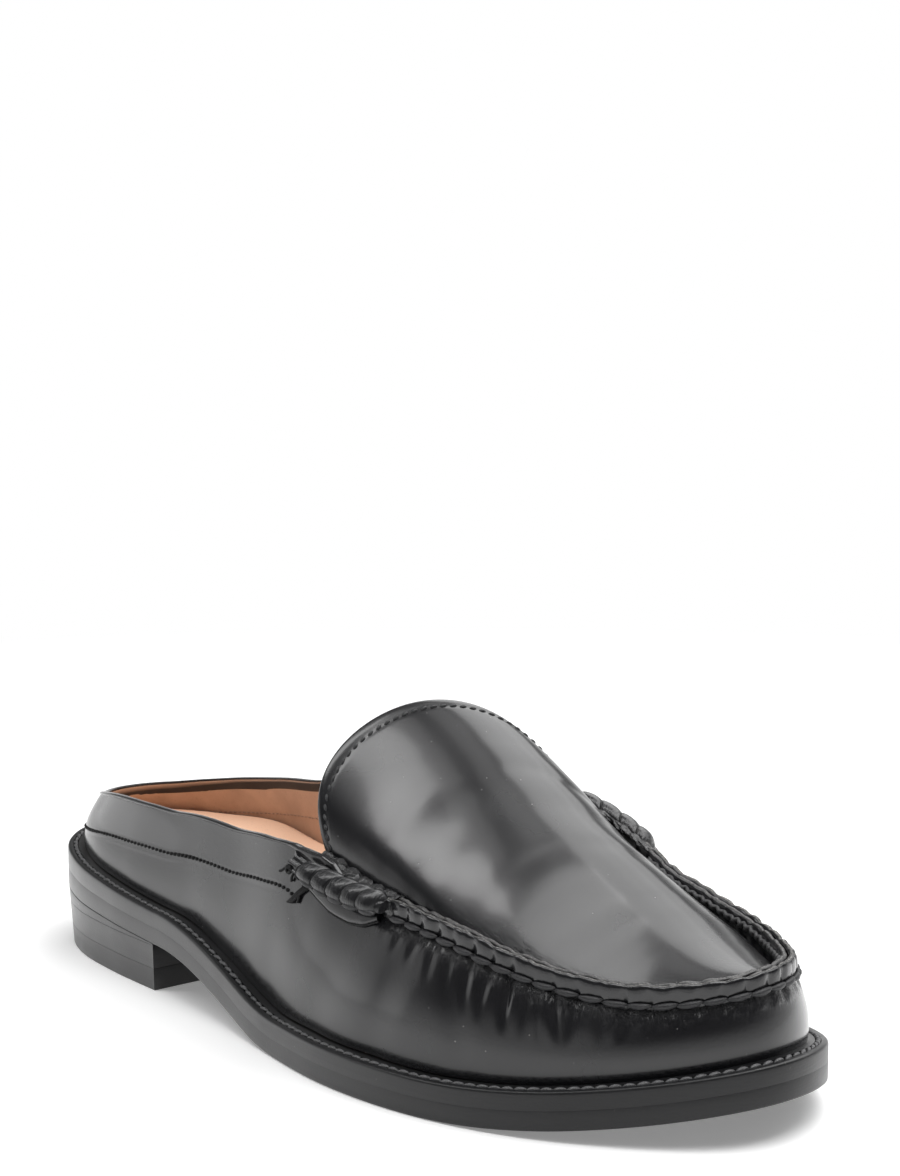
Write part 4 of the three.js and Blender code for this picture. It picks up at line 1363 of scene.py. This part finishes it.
def roll_surface(side, share, turn):
    """Points on a roll at shares of its length and turns round its section."""
    outline = roll_outline()
    places = np.linspace(0, TURN, len(outline))
    out = np.interp(np.mod(turn, TURN), places, outline[:, 0])
    up = np.interp(np.mod(turn, TURN), places, outline[:, 1])
    way = (share - ROLL_BUNDLE) / (1 - ROLL_BUNDLE) + loop_lean(turn)
    lobe = np.abs(np.sin(np.pi * ROLL_LOOPS * np.clip(way, 0, 1.02))) ** 0.22
    bundle = 0.6 + 0.06 * np.cos(6 * turn)
    loops = mix(LOOP_WAIST, LOOP_FULL, lobe) * np.sin(np.pi * mix(0.26, 0.66, np.clip(way, 0, 1))) ** 0.5
    bulge = mix(bundle, loops, ease(way / 0.03 + 0.5)) * ease(share / 0.05 + 0.4)
    bulge = bulge * np.sqrt(1 - (0.85 * np.clip((share - ROLL_NOSE) / (1 - ROLL_NOSE), 0, 1)) ** 2)
    shift = ROLL_SHIFT[side] * (1 - share) ** 0.8
    sink = ROLL_SINK[side] * (1 - share) ** 3
    angle = roll_angle(side, share)
    base = rim_height(angle) + COLLAR_LIP + GAP - sink
    inset = rim_inset(angle) - out * ROLL_WIDTH * bulge - shift
    return at_edge(angle, inset, base + up * ROLL_HEIGHT * bulge)


def make_roll(side):
    steps = np.linspace(0, 1, 220)[:, None]
    turn = np.linspace(0, TURN, 61)[None]
    points = roll_surface(side, steps, turn)
    shell = Shell()
    shell.grid(points, 0, raw=0.0, pucker=0.3)
    shell.fan(points[0, :-1])
    shell.fan(points[-1, :-1])
    shell.make("roll_%s_leather" % side, ("leather",), 70, "roll_leather", "roll_" + side)


TAB_WIDE, TAB_THICK = 1.6, 0.7


def make_tabs(side):
    """The apron's edge, gathered in small flat tabs behind a roll."""
    share = np.linspace(0.1, 1.06, 150)[:, None]
    turn = np.linspace(0, TURN, 25)[None]
    way = ROLL_TABS * share
    tab = np.minimum(way.astype(int), ROLL_TABS)
    puff = np.abs(np.sin(np.pi * way)) ** 0.6
    rng = np.random.default_rng(SEED + 8)
    sizes = rng.uniform(0.75, 1.2, ROLL_TABS + 1)[tab]
    radius = mix(0.7, 1.7, puff) * sizes * np.sin(np.pi * mix(0.1, 0.9, share)) ** 0.5
    angle = roll_angle(side, share)
    middle = at_edge(angle, rim_inset(angle) + 2.5, rim_height(angle) + mix(3.6, 4.3, share))
    crease = 1 + 0.16 * np.cos(5 * turn + 9 * way) + 0.07 * np.cos(11 * turn + 5 * way)
    tilt = rng.uniform(-0.1, 0.5, ROLL_TABS + 1)[tab]
    wide, thick = TAB_WIDE * np.cos(turn), TAB_THICK * np.sin(turn)
    level = wide * np.cos(tilt) - thick * np.sin(tilt)
    rise = wide * np.sin(tilt) + thick * np.cos(tilt)
    over = rise[..., None] * UP - level[..., None] * across_edge(angle)
    points = middle + over * (radius * crease)[..., None]
    shell = Shell()
    shell.grid(points, 0, raw=0.05, pucker=1.0)
    shell.fan(points[0, :-1])
    shell.fan(points[-1, :-1])
    shell.make("roll_%s_tabs" % side, ("leather",), 50, "roll_leather")


def make_roll_threads(side):
    """Thread wrapped between the loops of a roll, and the knot at its back end."""
    shell = Shell()
    rng = np.random.default_rng(SEED + 5)
    turn = np.linspace(TURN * 0.02, TURN * 0.92, 40)
    for k in range(ROLL_LOOPS):
        line = roll_surface(side, mix(ROLL_BUNDLE, 1.0, k / ROLL_LOOPS - loop_lean(turn)), turn)
        away = line - line.mean(0)
        away /= np.linalg.norm(away, axis=1, keepdims=True)
        tube(shell, line + WRAP_STAND * away, WRAP_THREAD)
    back = roll_surface(side, np.array([0.03]), np.array([TURN * 0.72]))[0]
    for k in range(3):
        ball = np.linspace(0, TURN * 0.97, 26)
        lean = rng.uniform(-0.8, 0.8)
        x, y = KNOT_SIZE * np.cos(ball), KNOT_SIZE * np.sin(ball)
        loop = np.stack([x, y * math.sin(lean), y * math.cos(lean)], 1)
        tube(shell, back + loop + rng.uniform(-0.25, 0.25, 3), KNOT_THREAD, 7)
    tail = np.linspace(0, 1, 14)[:, None]
    end = np.array([-3.4, -0.3 if side == "lateral" else 0.3, -0.6])
    curl = 0.4 * np.sin(tail * 5.0) * np.array([0.0, 0.3, 1.0])
    tube(shell, back + end * tail + curl, FINE_THREAD, 7)
    shell.make("roll_%s_thread" % side, ("dark_thread",), 80, "seam_thread")


# Section of the strip: how far in from the rim, and share of its height
STRIP_SECTION = (
    (0.3, -0.6), (0.15, 0.3), (0.2, 0.8), (0.5, 1.0), (1.2, 1.0), (1.7, 0.8), (2.7, 0.35),
    (3.4, -0.4), (0.3, -0.6),
)
STRIP_HEIGHT = 3.4


def make_strip(side):
    """The narrow standing strip between the apron and a roll."""
    share = np.linspace(0, 1, 120)
    angle = roll_angle(side, share, 0.012, 0.008)
    height = STRIP_HEIGHT * np.sin(np.pi * mix(0.08, 0.6, share)) ** 0.5
    height = height + edge_waver(run_at(angle), 0.12, 4)
    rim_i, rim_z = rim_inset(angle), rim_height(angle)
    rows = [at_edge(angle, rim_i + inward, rim_z + up * height) for inward, up in STRIP_SECTION]
    loop = np.stack(rows)
    shell = Shell()
    shell.grid(loop, 0, raw=0.15, pucker=0.3)
    shell.fan(loop[:-1, 0])
    shell.fan(loop[:-1, -1])
    shell.make("roll_%s_strip" % side, ("ridge",), 60, "roll_leather")


# Lower edge of the flap under a roll: share of the length on the lateral side, and its drop
FLAP_EDGE = (
    (0.518, 4.0), (0.531, 4.3), (0.558, 5.0), (0.585, 5.6), (0.616, 5.0), (0.637, 3.9), (0.655, 1.6),
)


def make_flap(side):
    """The leaf of leather that lies on the wall under a roll, with a dark cord along its lower edge: its
    inked edge and painted shade under it.
    """
    behind = ROLL_BACK[side] - ROLL_BACK["lateral"]
    edge = np.array(FLAP_EDGE)
    share = np.linspace(edge[0, 0] + 0.006, edge[-1, 0], 160)
    low = np.interp(share, edge[:, 0], edge[:, 1])
    angle = angle_at(side, share + behind)
    if side == "medial":
        low = np.maximum(low * 0.8, 0.7)
    across = np.concatenate([np.linspace(0, 0.9, 16), [0.95, 0.985, 1.0]])
    rise = FLAP_LEATHER * np.sqrt(np.clip(1 - ((across - 0.86) / 0.14).clip(0) ** 2, 0, 1))
    rise = rise + 0.25 * np.sin(np.pi * across) * (across < 0.95)
    outer = [wall_point(angle, low * v, -r - 0.03) for v, r in zip(across, rise)]
    inner = [wall_point(angle, low * v, -0.02) for v in across[::-1]]
    ends = ease((share - share[0]) / 0.008)[:, None]
    outer = [mix(flat, proud, ends) for flat, proud in zip(inner[::-1], outer)]
    shell = Shell()
    shell.grid(np.stack(outer + inner + outer[:1]), 0, raw=0.0, pucker=0.0)
    # Dark cord along the flap's lower edge: the inked edge, and painted shade under it.
    tube(shell, wall_point(angle, low + 0.05, -0.25), FLAP_EDGE_AND_SHADE, skin=1)
    shell.make("roll_%s_flap" % side, ("leather", "dark_thread"), 60, "roll_leather")


# Threads


STITCH_INPUTS = (
    ("Count", "Int", 40),
    ("Length", "Float", 0.0047),
    ("Thickness", "Float", 0.0011),
    ("Bow", "Float", 0.0004),
    ("Slant", "Float", 0.0),
    ("Scatter", "Float", 0.05),
    ("Seed", "Int", SEED),
    ("Sides", "Int", 8),
    ("Material", "Material", None),
)


def stitch_tree():
    """Geometry Nodes that lay one stitch at each of Count places along a line."""
    tree = bpy.data.node_groups.get("Stitch run")
    if tree is not None:
        return tree
    tree = bpy.data.node_groups.new("Stitch run", "GeometryNodeTree")
    tree.interface.new_socket("Line", in_out="INPUT", socket_type="NodeSocketGeometry")
    for name, kind, default in STITCH_INPUTS:
        socket = tree.interface.new_socket(name, in_out="INPUT", socket_type="NodeSocket" + kind)
        if default is not None:
            socket.default_value = default
    tree.interface.new_socket("Stitches", in_out="OUTPUT", socket_type="NodeSocketGeometry")
    given = tree.nodes.new("NodeGroupInput").outputs
    curve = add(tree, "GeometryNodeMeshToCurve", {"Mesh": given["Line"]})
    places = add(
        tree, "GeometryNodeResampleCurve", {"Curve": curve.outputs[0], "Count": given["Count"]}
    )
    tangent = tree.nodes.new("GeometryNodeInputTangent").outputs[0]
    outward = add(
        tree, "GeometryNodeInputNamedAttribute", {"Name": "outward"}, data_type="FLOAT_VECTOR"
    ).outputs[0]
    along = add(tree, "FunctionNodeAlignRotationToVector", {"Vector": tangent}, axis="X")
    facing_out = add(
        tree,
        "FunctionNodeAlignRotationToVector",
        {"Rotation": along.outputs[0], "Vector": outward},
        axis="Z",
        pivot_axis="X",
    )
    chance = add(
        tree,
        "FunctionNodeRandomValue",
        {2: -1.0, 3: 1.0, "Seed": given["Seed"]},
        data_type="FLOAT",
    ).outputs[1]
    spin = maths(tree, "ADD", given["Slant"], maths(tree, "MULTIPLY", chance, given["Scatter"]))
    euler = add(tree, "ShaderNodeCombineXYZ", {"Z": spin})
    turned = add(tree, "FunctionNodeEulerToRotation", {0: euler.outputs[0]})
    pose = add(
        tree,
        "FunctionNodeRotateRotation",
        {0: facing_out.outputs[0], 1: turned.outputs[0]},
        rotation_space="LOCAL",
    )
    half = maths(tree, "MULTIPLY", given["Length"], 0.5)
    back = maths(tree, "MULTIPLY", half, -1.0)
    dip = maths(tree, "MULTIPLY", given["Bow"], -1.0)
    first = add(tree, "ShaderNodeCombineXYZ", {"X": back, "Z": dip}).outputs[0]
    crown = add(tree, "ShaderNodeCombineXYZ", {"Z": given["Bow"]}).outputs[0]
    last = add(tree, "ShaderNodeCombineXYZ", {"X": half, "Z": dip}).outputs[0]
    bar = add(
        tree,
        "GeometryNodeCurveQuadraticBezier",
        {"Resolution": 10, "Start": first, "Middle": crown, "End": last},
    )
    way = tree.nodes.new("GeometryNodeSplineParameter").outputs["Factor"]
    round_way = maths(tree, "SINE", maths(tree, "MULTIPLY", way, math.pi))
    round_way = maths(tree, "ADD", maths(tree, "MULTIPLY", round_way, 0.98), 0.02)
    plump = maths(tree, "POWER", round_way, 0.45)
    thick = add(tree, "GeometryNodeSetCurveRadius", {"Curve": bar.outputs[0], "Radius": plump})
    radius = maths(tree, "MULTIPLY", given["Thickness"], 0.5)
    circle = add(
        tree, "GeometryNodeCurvePrimitiveCircle", {"Resolution": given["Sides"], "Radius": radius}
    )
    swept = add(
        tree,
        "GeometryNodeCurveToMesh",
        {
            "Curve": thick.outputs[0],
            "Profile Curve": circle.outputs[0],
            "Scale": plump,
            "Fill Caps": True,
        },
    )
    size = maths(tree, "ADD", maths(tree, "MULTIPLY", chance, 0.06), 1.0)
    laid = add(
        tree,
        "GeometryNodeInstanceOnPoints",
        {
            "Points": places.outputs[0],
            "Instance": swept.outputs[0],
            "Rotation": pose.outputs[0],
            "Scale": size,
        },
    )
    real = add(tree, "GeometryNodeRealizeInstances", {"Geometry": laid.outputs[0]})
    smooth = add(tree, "GeometryNodeSetShadeSmooth", {"Geometry": real.outputs[0]})
    dyed = add(
        tree,
        "GeometryNodeSetMaterial",
        {"Geometry": smooth.outputs[0], "Material": given["Material"]},
    )
    target = tree.nodes.new("NodeGroupOutput").inputs
    tree.links.new(dyed.outputs[0], target["Stitches"])
    return tree


# Stitches of each run: thread, then length, thickness, bow, slant, scatter and sides
STITCH_RUNS = {
    "seam_bars": ("thread", 5.75, 1.5, 0.5, 0.06, 0.05, 10),
    "seam_chain_1": ("chain", 3.2, 1.25, 0.4, 0.5, 0.18, 8),
    "seam_chain_2": ("chain", 3.2, 1.25, 0.4, -0.5, 0.18, 8),
    "roll_lateral_bars": ("thread", 5.0, 1.5, 0.3, 0.0, 0.06, 10),
    "roll_medial_bars": ("thread", 5.0, 1.5, 0.3, 0.0, 0.06, 10),
    "welt_stitches": ("welt_thread", 3.1, 1.15, 0.25, 0.2, 0.14, 8),
    "quarter_stitches": ("dark_thread", 1.15, 1.0, 0.12, 0.25, 0.1, 8),
    "lining_stitches": ("lining_thread", 1.4, 0.4, 0.05, 0.0, 0.05, 6),
    "tongue_stitches": ("thread", 1.9, 0.8, 0.1, 0.25, 0.1, 8),
}


def stitch_row(name, points, outward, count, seed=SEED):
    """One run of stitches along points, as a plain mesh."""
    key, length, thickness, bow, slant, scatter, sides = STITCH_RUNS[name]
    values = {
        "Count": int(count),
        "Length": length * MM,
        "Thickness": thickness * MM,
        "Bow": bow * MM,
        "Slant": slant,
        "Scatter": scatter,
        "Seed": seed,
        "Sides": sides,
        "Material": material_of(key),
    }
    mesh = bpy.data.meshes.new(name)
    edges = [(k, k + 1) for k in range(len(points) - 1)]
    mesh.from_pydata(((points + PLACE) * MM).tolist(), edges, [])
    mark = mesh.attributes.new("outward", "FLOAT_VECTOR", "POINT")
    mark.data.foreach_set("vector", np.asarray(outward, np.float32).ravel())
    line = place_object(name + "_line", mesh)
    modifier = line.modifiers.new("stitches", "NODES")
    modifier.node_group = stitch_tree()
    for item in modifier.node_group.interface.items_tree:
        if item.in_out == "INPUT" and item.name in values:
            modifier[item.identifier] = values[item.name]
    depsgraph = bpy.context.evaluated_depsgraph_get()
    baked = bpy.data.meshes.new_from_object(line.evaluated_get(depsgraph))
    bpy.data.objects.remove(line)
    bpy.data.meshes.remove(mesh)
    baked.name = name
    if "outward" in baked.attributes:
        baked.attributes.remove(baked.attributes["outward"])
    finish_piece(baked, "seam_thread")


def wall_outward(angle, drop):
    return wall_point(angle, drop) - wall_point(angle, drop, 1.0)


def seam_angles(count):
    """Angles at a fine spacing from the first to the last stitch centre of the raised seam."""
    step = (SEAM_END - SEAM_START) / count
    return angle_of(np.linspace(SEAM_START + step / 2, SEAM_END - step / 2, 6 * count))


def make_seam_threads():
    """Bars of thread along the foot of the raised seam, outside, and the chain inside."""
    count = stitch_count(chosen("seam_pitch"))
    angle = seam_angles(count)
    out = across_edge(angle)
    points = at_edge(angle, rim_inset(angle) - BAR_STAND, rim_height(angle) + BAR_HEIGHT)
    stitch_row("seam_bars", points, out * 0.9 - UP * 0.25, count)
    for k in range(2):
        place = angle_of(run_at(angle) + k * chosen("seam_pitch") / 8)
        inset = rim_inset(place) + 2 * RIDGE_LAYER + GAP + CHAIN_STAND
        line = at_edge(place, inset, rim_height(place) + CHAIN_HEIGHT)
        stitch_row("seam_chain_%d" % (k + 1), line, UP * 0.4 - out * 0.9, 2 * count, SEED + k)


def make_roll_bars(side):
    """Bars of thread that carry the seam's outer row on under a roll."""
    share = mix(ROLL_BUNDLE, 1.0, np.linspace(0.1, 0.9, 60))
    points = roll_surface(side, share, TURN * 0.72 + 0 * share)
    out = across_edge(roll_angle(side, share))
    stitch_row("roll_%s_bars" % side, points, out - UP * 0.5, ROLL_LOOPS)


def row_count(points, pitch):
    """How many stitches of that chosen pitch fit along the points."""
    return int(round(np.linalg.norm(np.diff(points, axis=0), axis=1).sum() / chosen(pitch))) + 1


def make_welt_stitches():
    angle = np.linspace(0.004, TURN - 0.004, 1600)
    points = at_edge(angle, CHANNEL_INSET, welt_top(length_at(angle)) - WELT_THREAD_SINK)
    up = np.broadcast_to(UP, points.shape)
    stitch_row("welt_stitches", points, up, row_count(points, "welt_pitch"))


def make_quarter_stitches():
    """The quarter's stitched line outside, and the same row inside on the lining."""
    start = float(angle_at("medial", SEAM_LINE_FRONT["medial"])) - TURN
    angle = np.linspace(start, float(angle_at("lateral", SEAM_LINE_FRONT["lateral"])), 900)
    out = wall_outward(angle, SEAM_LINE_DROP)
    points = wall_point(angle, SEAM_LINE_DROP, 0.02)
    stitch_row("quarter_stitches", points, out, row_count(points, "quarter_pitch"))
    inside = wall_point(angle, SEAM_LINE_DROP, LEATHER + 0.03)
    stitch_row("lining_stitches", inside, -out, row_count(inside, "quarter_pitch"))


def make_tongue_stitches():
    """Stitches at a distance inside the tongue's edge."""
    points = apron_sheet()[-1]
    normal = sheet_normals(points)
    down = np.linalg.norm(np.diff(points, axis=0), axis=-1)
    back = np.concatenate([np.zeros((1, points.shape[1])), np.cumsum(down, axis=0)])
    line, out = [], []
    for c in range(3, points.shape[1] - 3):
        place = np.interp(TONGUE_STITCH_INSET, back[:, c], np.arange(len(points)))
        k, f = int(place), place % 1
        line.append(mix(points[k, c], points[k + 1, c], f))
        out.append(normal[k, c])
    line = np.array(line)
    stitch_row("tongue_stitches", line, np.array(out), row_count(line, "tongue_pitch"))


# Bar tack: share of the length on the lateral side and drop, for the ends of each strand
TACK_STRANDS = (
    ((0.5275, 12.4), (0.549, 3.8)),
    ((0.5295, 12.2), (0.5505, 3.9)),
    ((0.532, 11.8), (0.552, 4.1)),
    ((0.540, 10.4), (0.545, 3.9)),
    ((0.527, 7.4), (0.5285, 5.2)),
    ((0.5255, 12.6), (0.537, 9.6)),
)


def make_bar_tack(side):
    """Strands of thread that tie off the quarter's line."""
    behind = SEAM_LINE_FRONT[side] - SEAM_LINE_FRONT["lateral"]
    shell = Shell()
    for (first, low), (last, high) in TACK_STRANDS:
        way = np.linspace(0, 1, 16)
        angle = angle_at(side, mix(first, last, way) + behind)
        drop = mix(low, high, way)
        lift = -0.3 - 0.25 * np.sin(np.pi * way)
        tube(shell, wall_point(angle, drop, lift), FINE_THREAD, 7)
    shell.make("bar_tack_" + side, ("dark_thread",), 80, "seam_thread")


# Stage

CAMERA_PLACE = (0.463059, -0.371485, 0.179024)
CAMERA_TURN = math.radians(49.782)
CAMERA_DIP = math.radians(6.597)
CAMERA_ROLL = math.radians(-0.245)
CAMERA_LENS = 72.243

# Soft lights that face the shoe: name, middle, width, height, brightness, direction of the width
LIGHTS = (
    ("light_overhead", (0.253, 0.02, 0.68), 0.456, 0.6, 4.15, (1, 0, 0)),
    ("light_side", (-0.19, -0.29, 0.66), 0.46, 0.15, 6.0, (0.74, 0.67, 0)),
    ("light_streak", (-0.1, -0.07, 0.67), 0.12, 0.1, 1.4, (0.74, 0.67, 0)),
    ("light_fill", (-0.07, 0.13, 0.66), 0.12, 0.12, 1.0, (1, 0, 0)),
    ("light_left", (-1.05, -0.5, 0.3), 1.3, 0.62, 0.72, (0.5, -1, 0)),
)

# Panels that face down, beyond the shoe: near and far edge, left and right end, brightness
BANK_HEIGHT = 0.65
BANK = (
    (0.25, 0.4, -0.6, 0.5, 2.7), (0.4, 0.6, -0.7, 0.5, 2.6), (0.6, 0.95, -0.9, 0.6, 2.2),
    (0.95, 1.6, -1.2, 0.8, 1.6),
)

# The floor: radius, where it fades to white, and the glow of its paper
FLOOR_RADIUS = 6.0
FLOOR_FADE = (0.22, 0.75)
FLOOR_GLOW = 0.22

# The background as the shoe sees it: heights where it dims and brightens, and its dimmest
SKY_DIMS, SKY_BRIGHTENS = (0.03, 0.24), (0.45, 0.9)
SKY_DIMMEST = 0.075


def make_camera():
    a, e, r = CAMERA_TURN, CAMERA_DIP, CAMERA_ROLL
    ahead = -np.array([math.sin(a) * math.cos(e), -math.cos(a) * math.cos(e), math.sin(e)])
    side = np.array([math.cos(a), math.sin(a), 0.0])
    up = np.cross(side, ahead)
    side, up = side * math.cos(r) + up * math.sin(r), up * math.cos(r) - side * math.sin(r)
    data = bpy.data.cameras.new("camera")
    data.lens = CAMERA_LENS
    data.clip_start = 0.01
    made = place_object("camera", data)
    place = Matrix(np.stack([side, up, -ahead], 1).tolist()).to_4x4()
    place.translation = CAMERA_PLACE
    made.matrix_world = place
    bpy.context.scene.camera = made


def make_floor(looks):
    """A pale floor that fades into the white background."""
    work = bmesh.new()
    bmesh.ops.create_circle(work, cap_ends=True, segments=96, radius=FLOOR_RADIUS)
    mesh = bpy.data.meshes.new("floor")
    work.to_mesh(mesh)
    work.free()
    material, tree, place = new_material("floor_paper")
    away = add(tree, "ShaderNodeVectorMath", {0: place}, operation="LENGTH").outputs["Value"]
    fade = ramp(tree, away, *FLOOR_FADE)
    paper = add(tree, "ShaderNodeBsdfDiffuse", {"Color": (*looks.floor, 1.0)})
    white = (1.0, 1.0, 1.0, 1.0)
    lift = add(tree, "ShaderNodeEmission", {"Color": white, "Strength": FLOOR_GLOW})
    near = add(tree, "ShaderNodeAddShader", {0: paper.outputs[0], 1: lift.outputs[0]})
    light = add(tree, "ShaderNodeEmission", {"Color": white, "Strength": 1.0})
    both = add(tree, "ShaderNodeMixShader", {0: fade, 1: near.outputs[0], 2: light.outputs[0]})
    add(tree, "ShaderNodeOutputMaterial", {"Surface": both.outputs[0]})
    mesh.materials.append(material)
    place_object("floor", mesh)


def make_world(looks):
    """White to the camera. The shoe sees it white at the horizon and dim overhead."""
    world = bpy.data.worlds.new("studio")
    bpy.context.scene.world = world
    world.use_nodes = True
    tree = world.node_tree
    tree.nodes.clear()
    seen = tree.nodes.new("ShaderNodeLightPath").outputs["Is Camera Ray"]
    way = tree.nodes.new("ShaderNodeTexCoord").outputs["Generated"]
    height = add(tree, "ShaderNodeSeparateXYZ", {0: way}).outputs["Z"]
    low = ramp(tree, height, *SKY_DIMS, looks.horizon, SKY_DIMMEST)
    glow = maths(tree, "ADD", low, ramp(tree, height, *SKY_BRIGHTENS, 0.0, looks.ambient))
    strength = maths(tree, "MAXIMUM", glow, seen)
    sky = add(tree, "ShaderNodeBackground", {"Color": (1.0, 1.0, 1.0, 1.0), "Strength": strength})
    add(tree, "ShaderNodeOutputWorld", {"Surface": sky.outputs[0]})


def make_panel(name, middle, width, height, brightness, across, away=None):
    """A soft rectangular light that faces the shoe, or straight away from a direction."""
    away = np.array(middle if away is None else away, float)
    away /= np.linalg.norm(away)
    side = np.array(across, float)
    side -= away * side.dot(away)
    side /= np.linalg.norm(side)
    data = bpy.data.lights.new(name, "AREA")
    data.shape = "RECTANGLE"
    data.size, data.size_y = width, height
    data.energy = brightness * math.pi * width * height
    made = place_object(name, data)
    place = Matrix(np.stack([side, np.cross(away, side), away], 1).tolist()).to_4x4()
    place.translation = middle
    made.matrix_world = place


def make_lights():
    for light in LIGHTS:
        make_panel(*light)
    for k, (near, far, left, right, brightness) in enumerate(BANK):
        middle = ((left + right) / 2, (near + far) / 2, BANK_HEIGHT)
        name = "light_bank_%d" % (k + 1)
        make_panel(name, middle, right - left, far - near, brightness, (1, 0, 0), UP)


# Panel


def colour_setting(name, description, value):
    return FloatVectorProperty(
        name=name, description=description, default=value, size=3, subtype="COLOR", min=0.0, max=1.0
    )


def share_setting(name, description, value):
    return FloatProperty(
        name=name, description=description, default=value, min=0.0, max=1.0, subtype="FACTOR"
    )


def size_setting(name, description, value):
    return FloatProperty(
        name=name, description=description, default=value * MM, min=0.0, unit="LENGTH", precision=5
    )


class MuleLooks(bpy.types.PropertyGroup):
    """Colours and gloss of the mule."""

    leather: colour_setting("Leather", "Black upper leather", (0.0045, 0.0045, 0.0055))
    raw_edge: colour_setting("Raw edge", "Fuzzy cut edges of the raised seam", (0.27, 0.26, 0.245))
    lining: colour_setting("Lining", "Tan lining leather", (0.56, 0.37, 0.265))
    turned_edge: colour_setting("Turned edge", "Upper's edge over the lining", (0.022, 0.015, 0.012))
    sock: colour_setting("Sock", "Pale sock leather", (0.96, 0.62, 0.43))
    edge: colour_setting("Sole edge", "Inked edge of the welt, sole and heel", (0.011, 0.011, 0.012))
    top_piece: colour_setting("Top piece", "Rubber under the heel and sole", (0.014, 0.014, 0.015))
    thread: colour_setting("Thread", "Seam thread", (0.009, 0.009, 0.01))
    chain: colour_setting("Chain thread", "Braided thread inside the raised seam", (0.03, 0.03, 0.031))
    welt_thread: colour_setting("Welt thread", "Stitches of the welt", (0.06, 0.06, 0.062))
    dust: colour_setting("Dust", "Dust and light scratches", (0.5, 0.49, 0.47))
    floor: colour_setting("Floor", "Pale studio floor", (0.9, 0.9, 0.9))
    leather_roughness: share_setting("Leather roughness", "Haze of the upper leather", 0.25)
    leather_coat: share_setting("Leather polish", "Polish coat on the upper leather", 0.35)
    ambient: share_setting("Ambient", "Light from overhead, as the shoe sees it", 0.25)
    horizon: share_setting("Horizon", "Light from the horizon, as the shoe sees it", 1.0)


class MuleSizes(bpy.types.PropertyGroup):
    """Sizes of the stitches."""

    seam_pitch: size_setting("Seam pitch", "Length of a stitch of the raised seam", 5.5)
    welt_pitch: size_setting("Welt pitch", "Length of a stitch of the welt", 3.1)
    quarter_pitch: size_setting("Quarter pitch", "Length of a stitch of the quarter's line", 1.95)
    tongue_pitch: size_setting("Tongue pitch", "Length of a stitch of the tongue's edge", 2.5)
    pleats: size_setting("Pleats", "Depth of the deepest pleats under the raised seam", 1.35)


class MULE_OT_sole(bpy.types.Operator):
    """Builds the outsole and the layers of the heel"""

    bl_idname = "mule.sole"
    bl_label = "Sole and heel"

    def execute(self, context):
        make_outsole()
        for node, (low, high, key) in heel_layers().items():
            make_heel_layer(node, low, high, key)
        return {"FINISHED"}


class MULE_OT_welt(bpy.types.Operator):
    """Builds the welt"""

    bl_idname = "mule.welt"
    bl_label = "Welt"

    def execute(self, context):
        make_welt()
        return {"FINISHED"}


class MULE_OT_sock(bpy.types.Operator):
    """Builds the padded sock over the insole"""

    bl_idname = "mule.sock"
    bl_label = "Sock"

    def execute(self, context):
        make_sock()
        return {"FINISHED"}


class MULE_OT_upper(bpy.types.Operator):
    """Builds the upper's leather and its lining"""

    bl_idname = "mule.upper"
    bl_label = "Upper and lining"

    def execute(self, context):
        make_upper()
        make_lining()
        return {"FINISHED"}


class MULE_OT_apron(bpy.types.Operator):
    """Builds the apron with its tongue"""

    bl_idname = "mule.apron"
    bl_label = "Apron and tongue"

    def execute(self, context):
        make_apron()
        return {"FINISHED"}


class MULE_OT_rolls(bpy.types.Operator):
    """Builds the rolled ends of the raised seam"""

    bl_idname = "mule.rolls"
    bl_label = "Rolled seam ends"

    def execute(self, context):
        for side in ROLL_BACK:
            make_roll(side)
            make_tabs(side)
            make_strip(side)
            make_roll_threads(side)
            make_roll_bars(side)
            make_flap(side)
        return {"FINISHED"}


class MULE_OT_stitches(bpy.types.Operator):
    """Lays the threads of the raised seam, the welt, the quarter and the tongue"""

    bl_idname = "mule.stitches"
    bl_label = "Stitches"

    def execute(self, context):
        make_seam_threads()
        make_welt_stitches()
        make_quarter_stitches()
        make_tongue_stitches()
        for side in SEAM_LINE_FRONT:
            make_bar_tack(side)
        return {"FINISHED"}


class MULE_OT_stage(bpy.types.Operator):
    """Sets the camera, the floor, the lights and the background"""

    bl_idname = "mule.stage"
    bl_label = "Studio"

    def execute(self, context):
        looks = context.scene.mule_looks
        make_camera()
        make_floor(looks)
        make_world(looks)
        make_lights()
        context.scene.view_settings.view_transform = "Standard"
        return {"FINISHED"}


OPERATORS = (
    MULE_OT_stage,
    MULE_OT_sole,
    MULE_OT_welt,
    MULE_OT_sock,
    MULE_OT_upper,
    MULE_OT_apron,
    MULE_OT_rolls,
    MULE_OT_stitches,
)


class MULE_PT_panel(bpy.types.Panel):
    """Looks, sizes and steps of the mule"""

    bl_idname = "MULE_PT_panel"
    bl_label = "Mule"
    bl_space_type = "VIEW_3D"
    bl_region_type = "UI"
    bl_category = "Mule"

    def draw(self, context):
        column = self.layout.column()
        for group in (context.scene.mule_looks, context.scene.mule_sizes):
            for key in group.__annotations__:
                column.prop(group, key)
        for operator in OPERATORS:
            column.operator(operator.bl_idname)


CLASSES = (MuleLooks, MuleSizes) + OPERATORS + (MULE_PT_panel,)


def register():
    for kind in CLASSES:
        bpy.utils.register_class(kind)
    bpy.types.Scene.mule_looks = PointerProperty(type=MuleLooks)
    bpy.types.Scene.mule_sizes = PointerProperty(type=MuleSizes)


def unregister():
    del bpy.types.Scene.mule_sizes
    del bpy.types.Scene.mule_looks
    for kind in reversed(CLASSES):
        bpy.utils.unregister_class(kind)


def main():
    register()
    for operator in OPERATORS:
        group, name = operator.bl_idname.split(".")
        getattr(getattr(bpy.ops, group), name)()


if __name__ == "__main__":
    main()
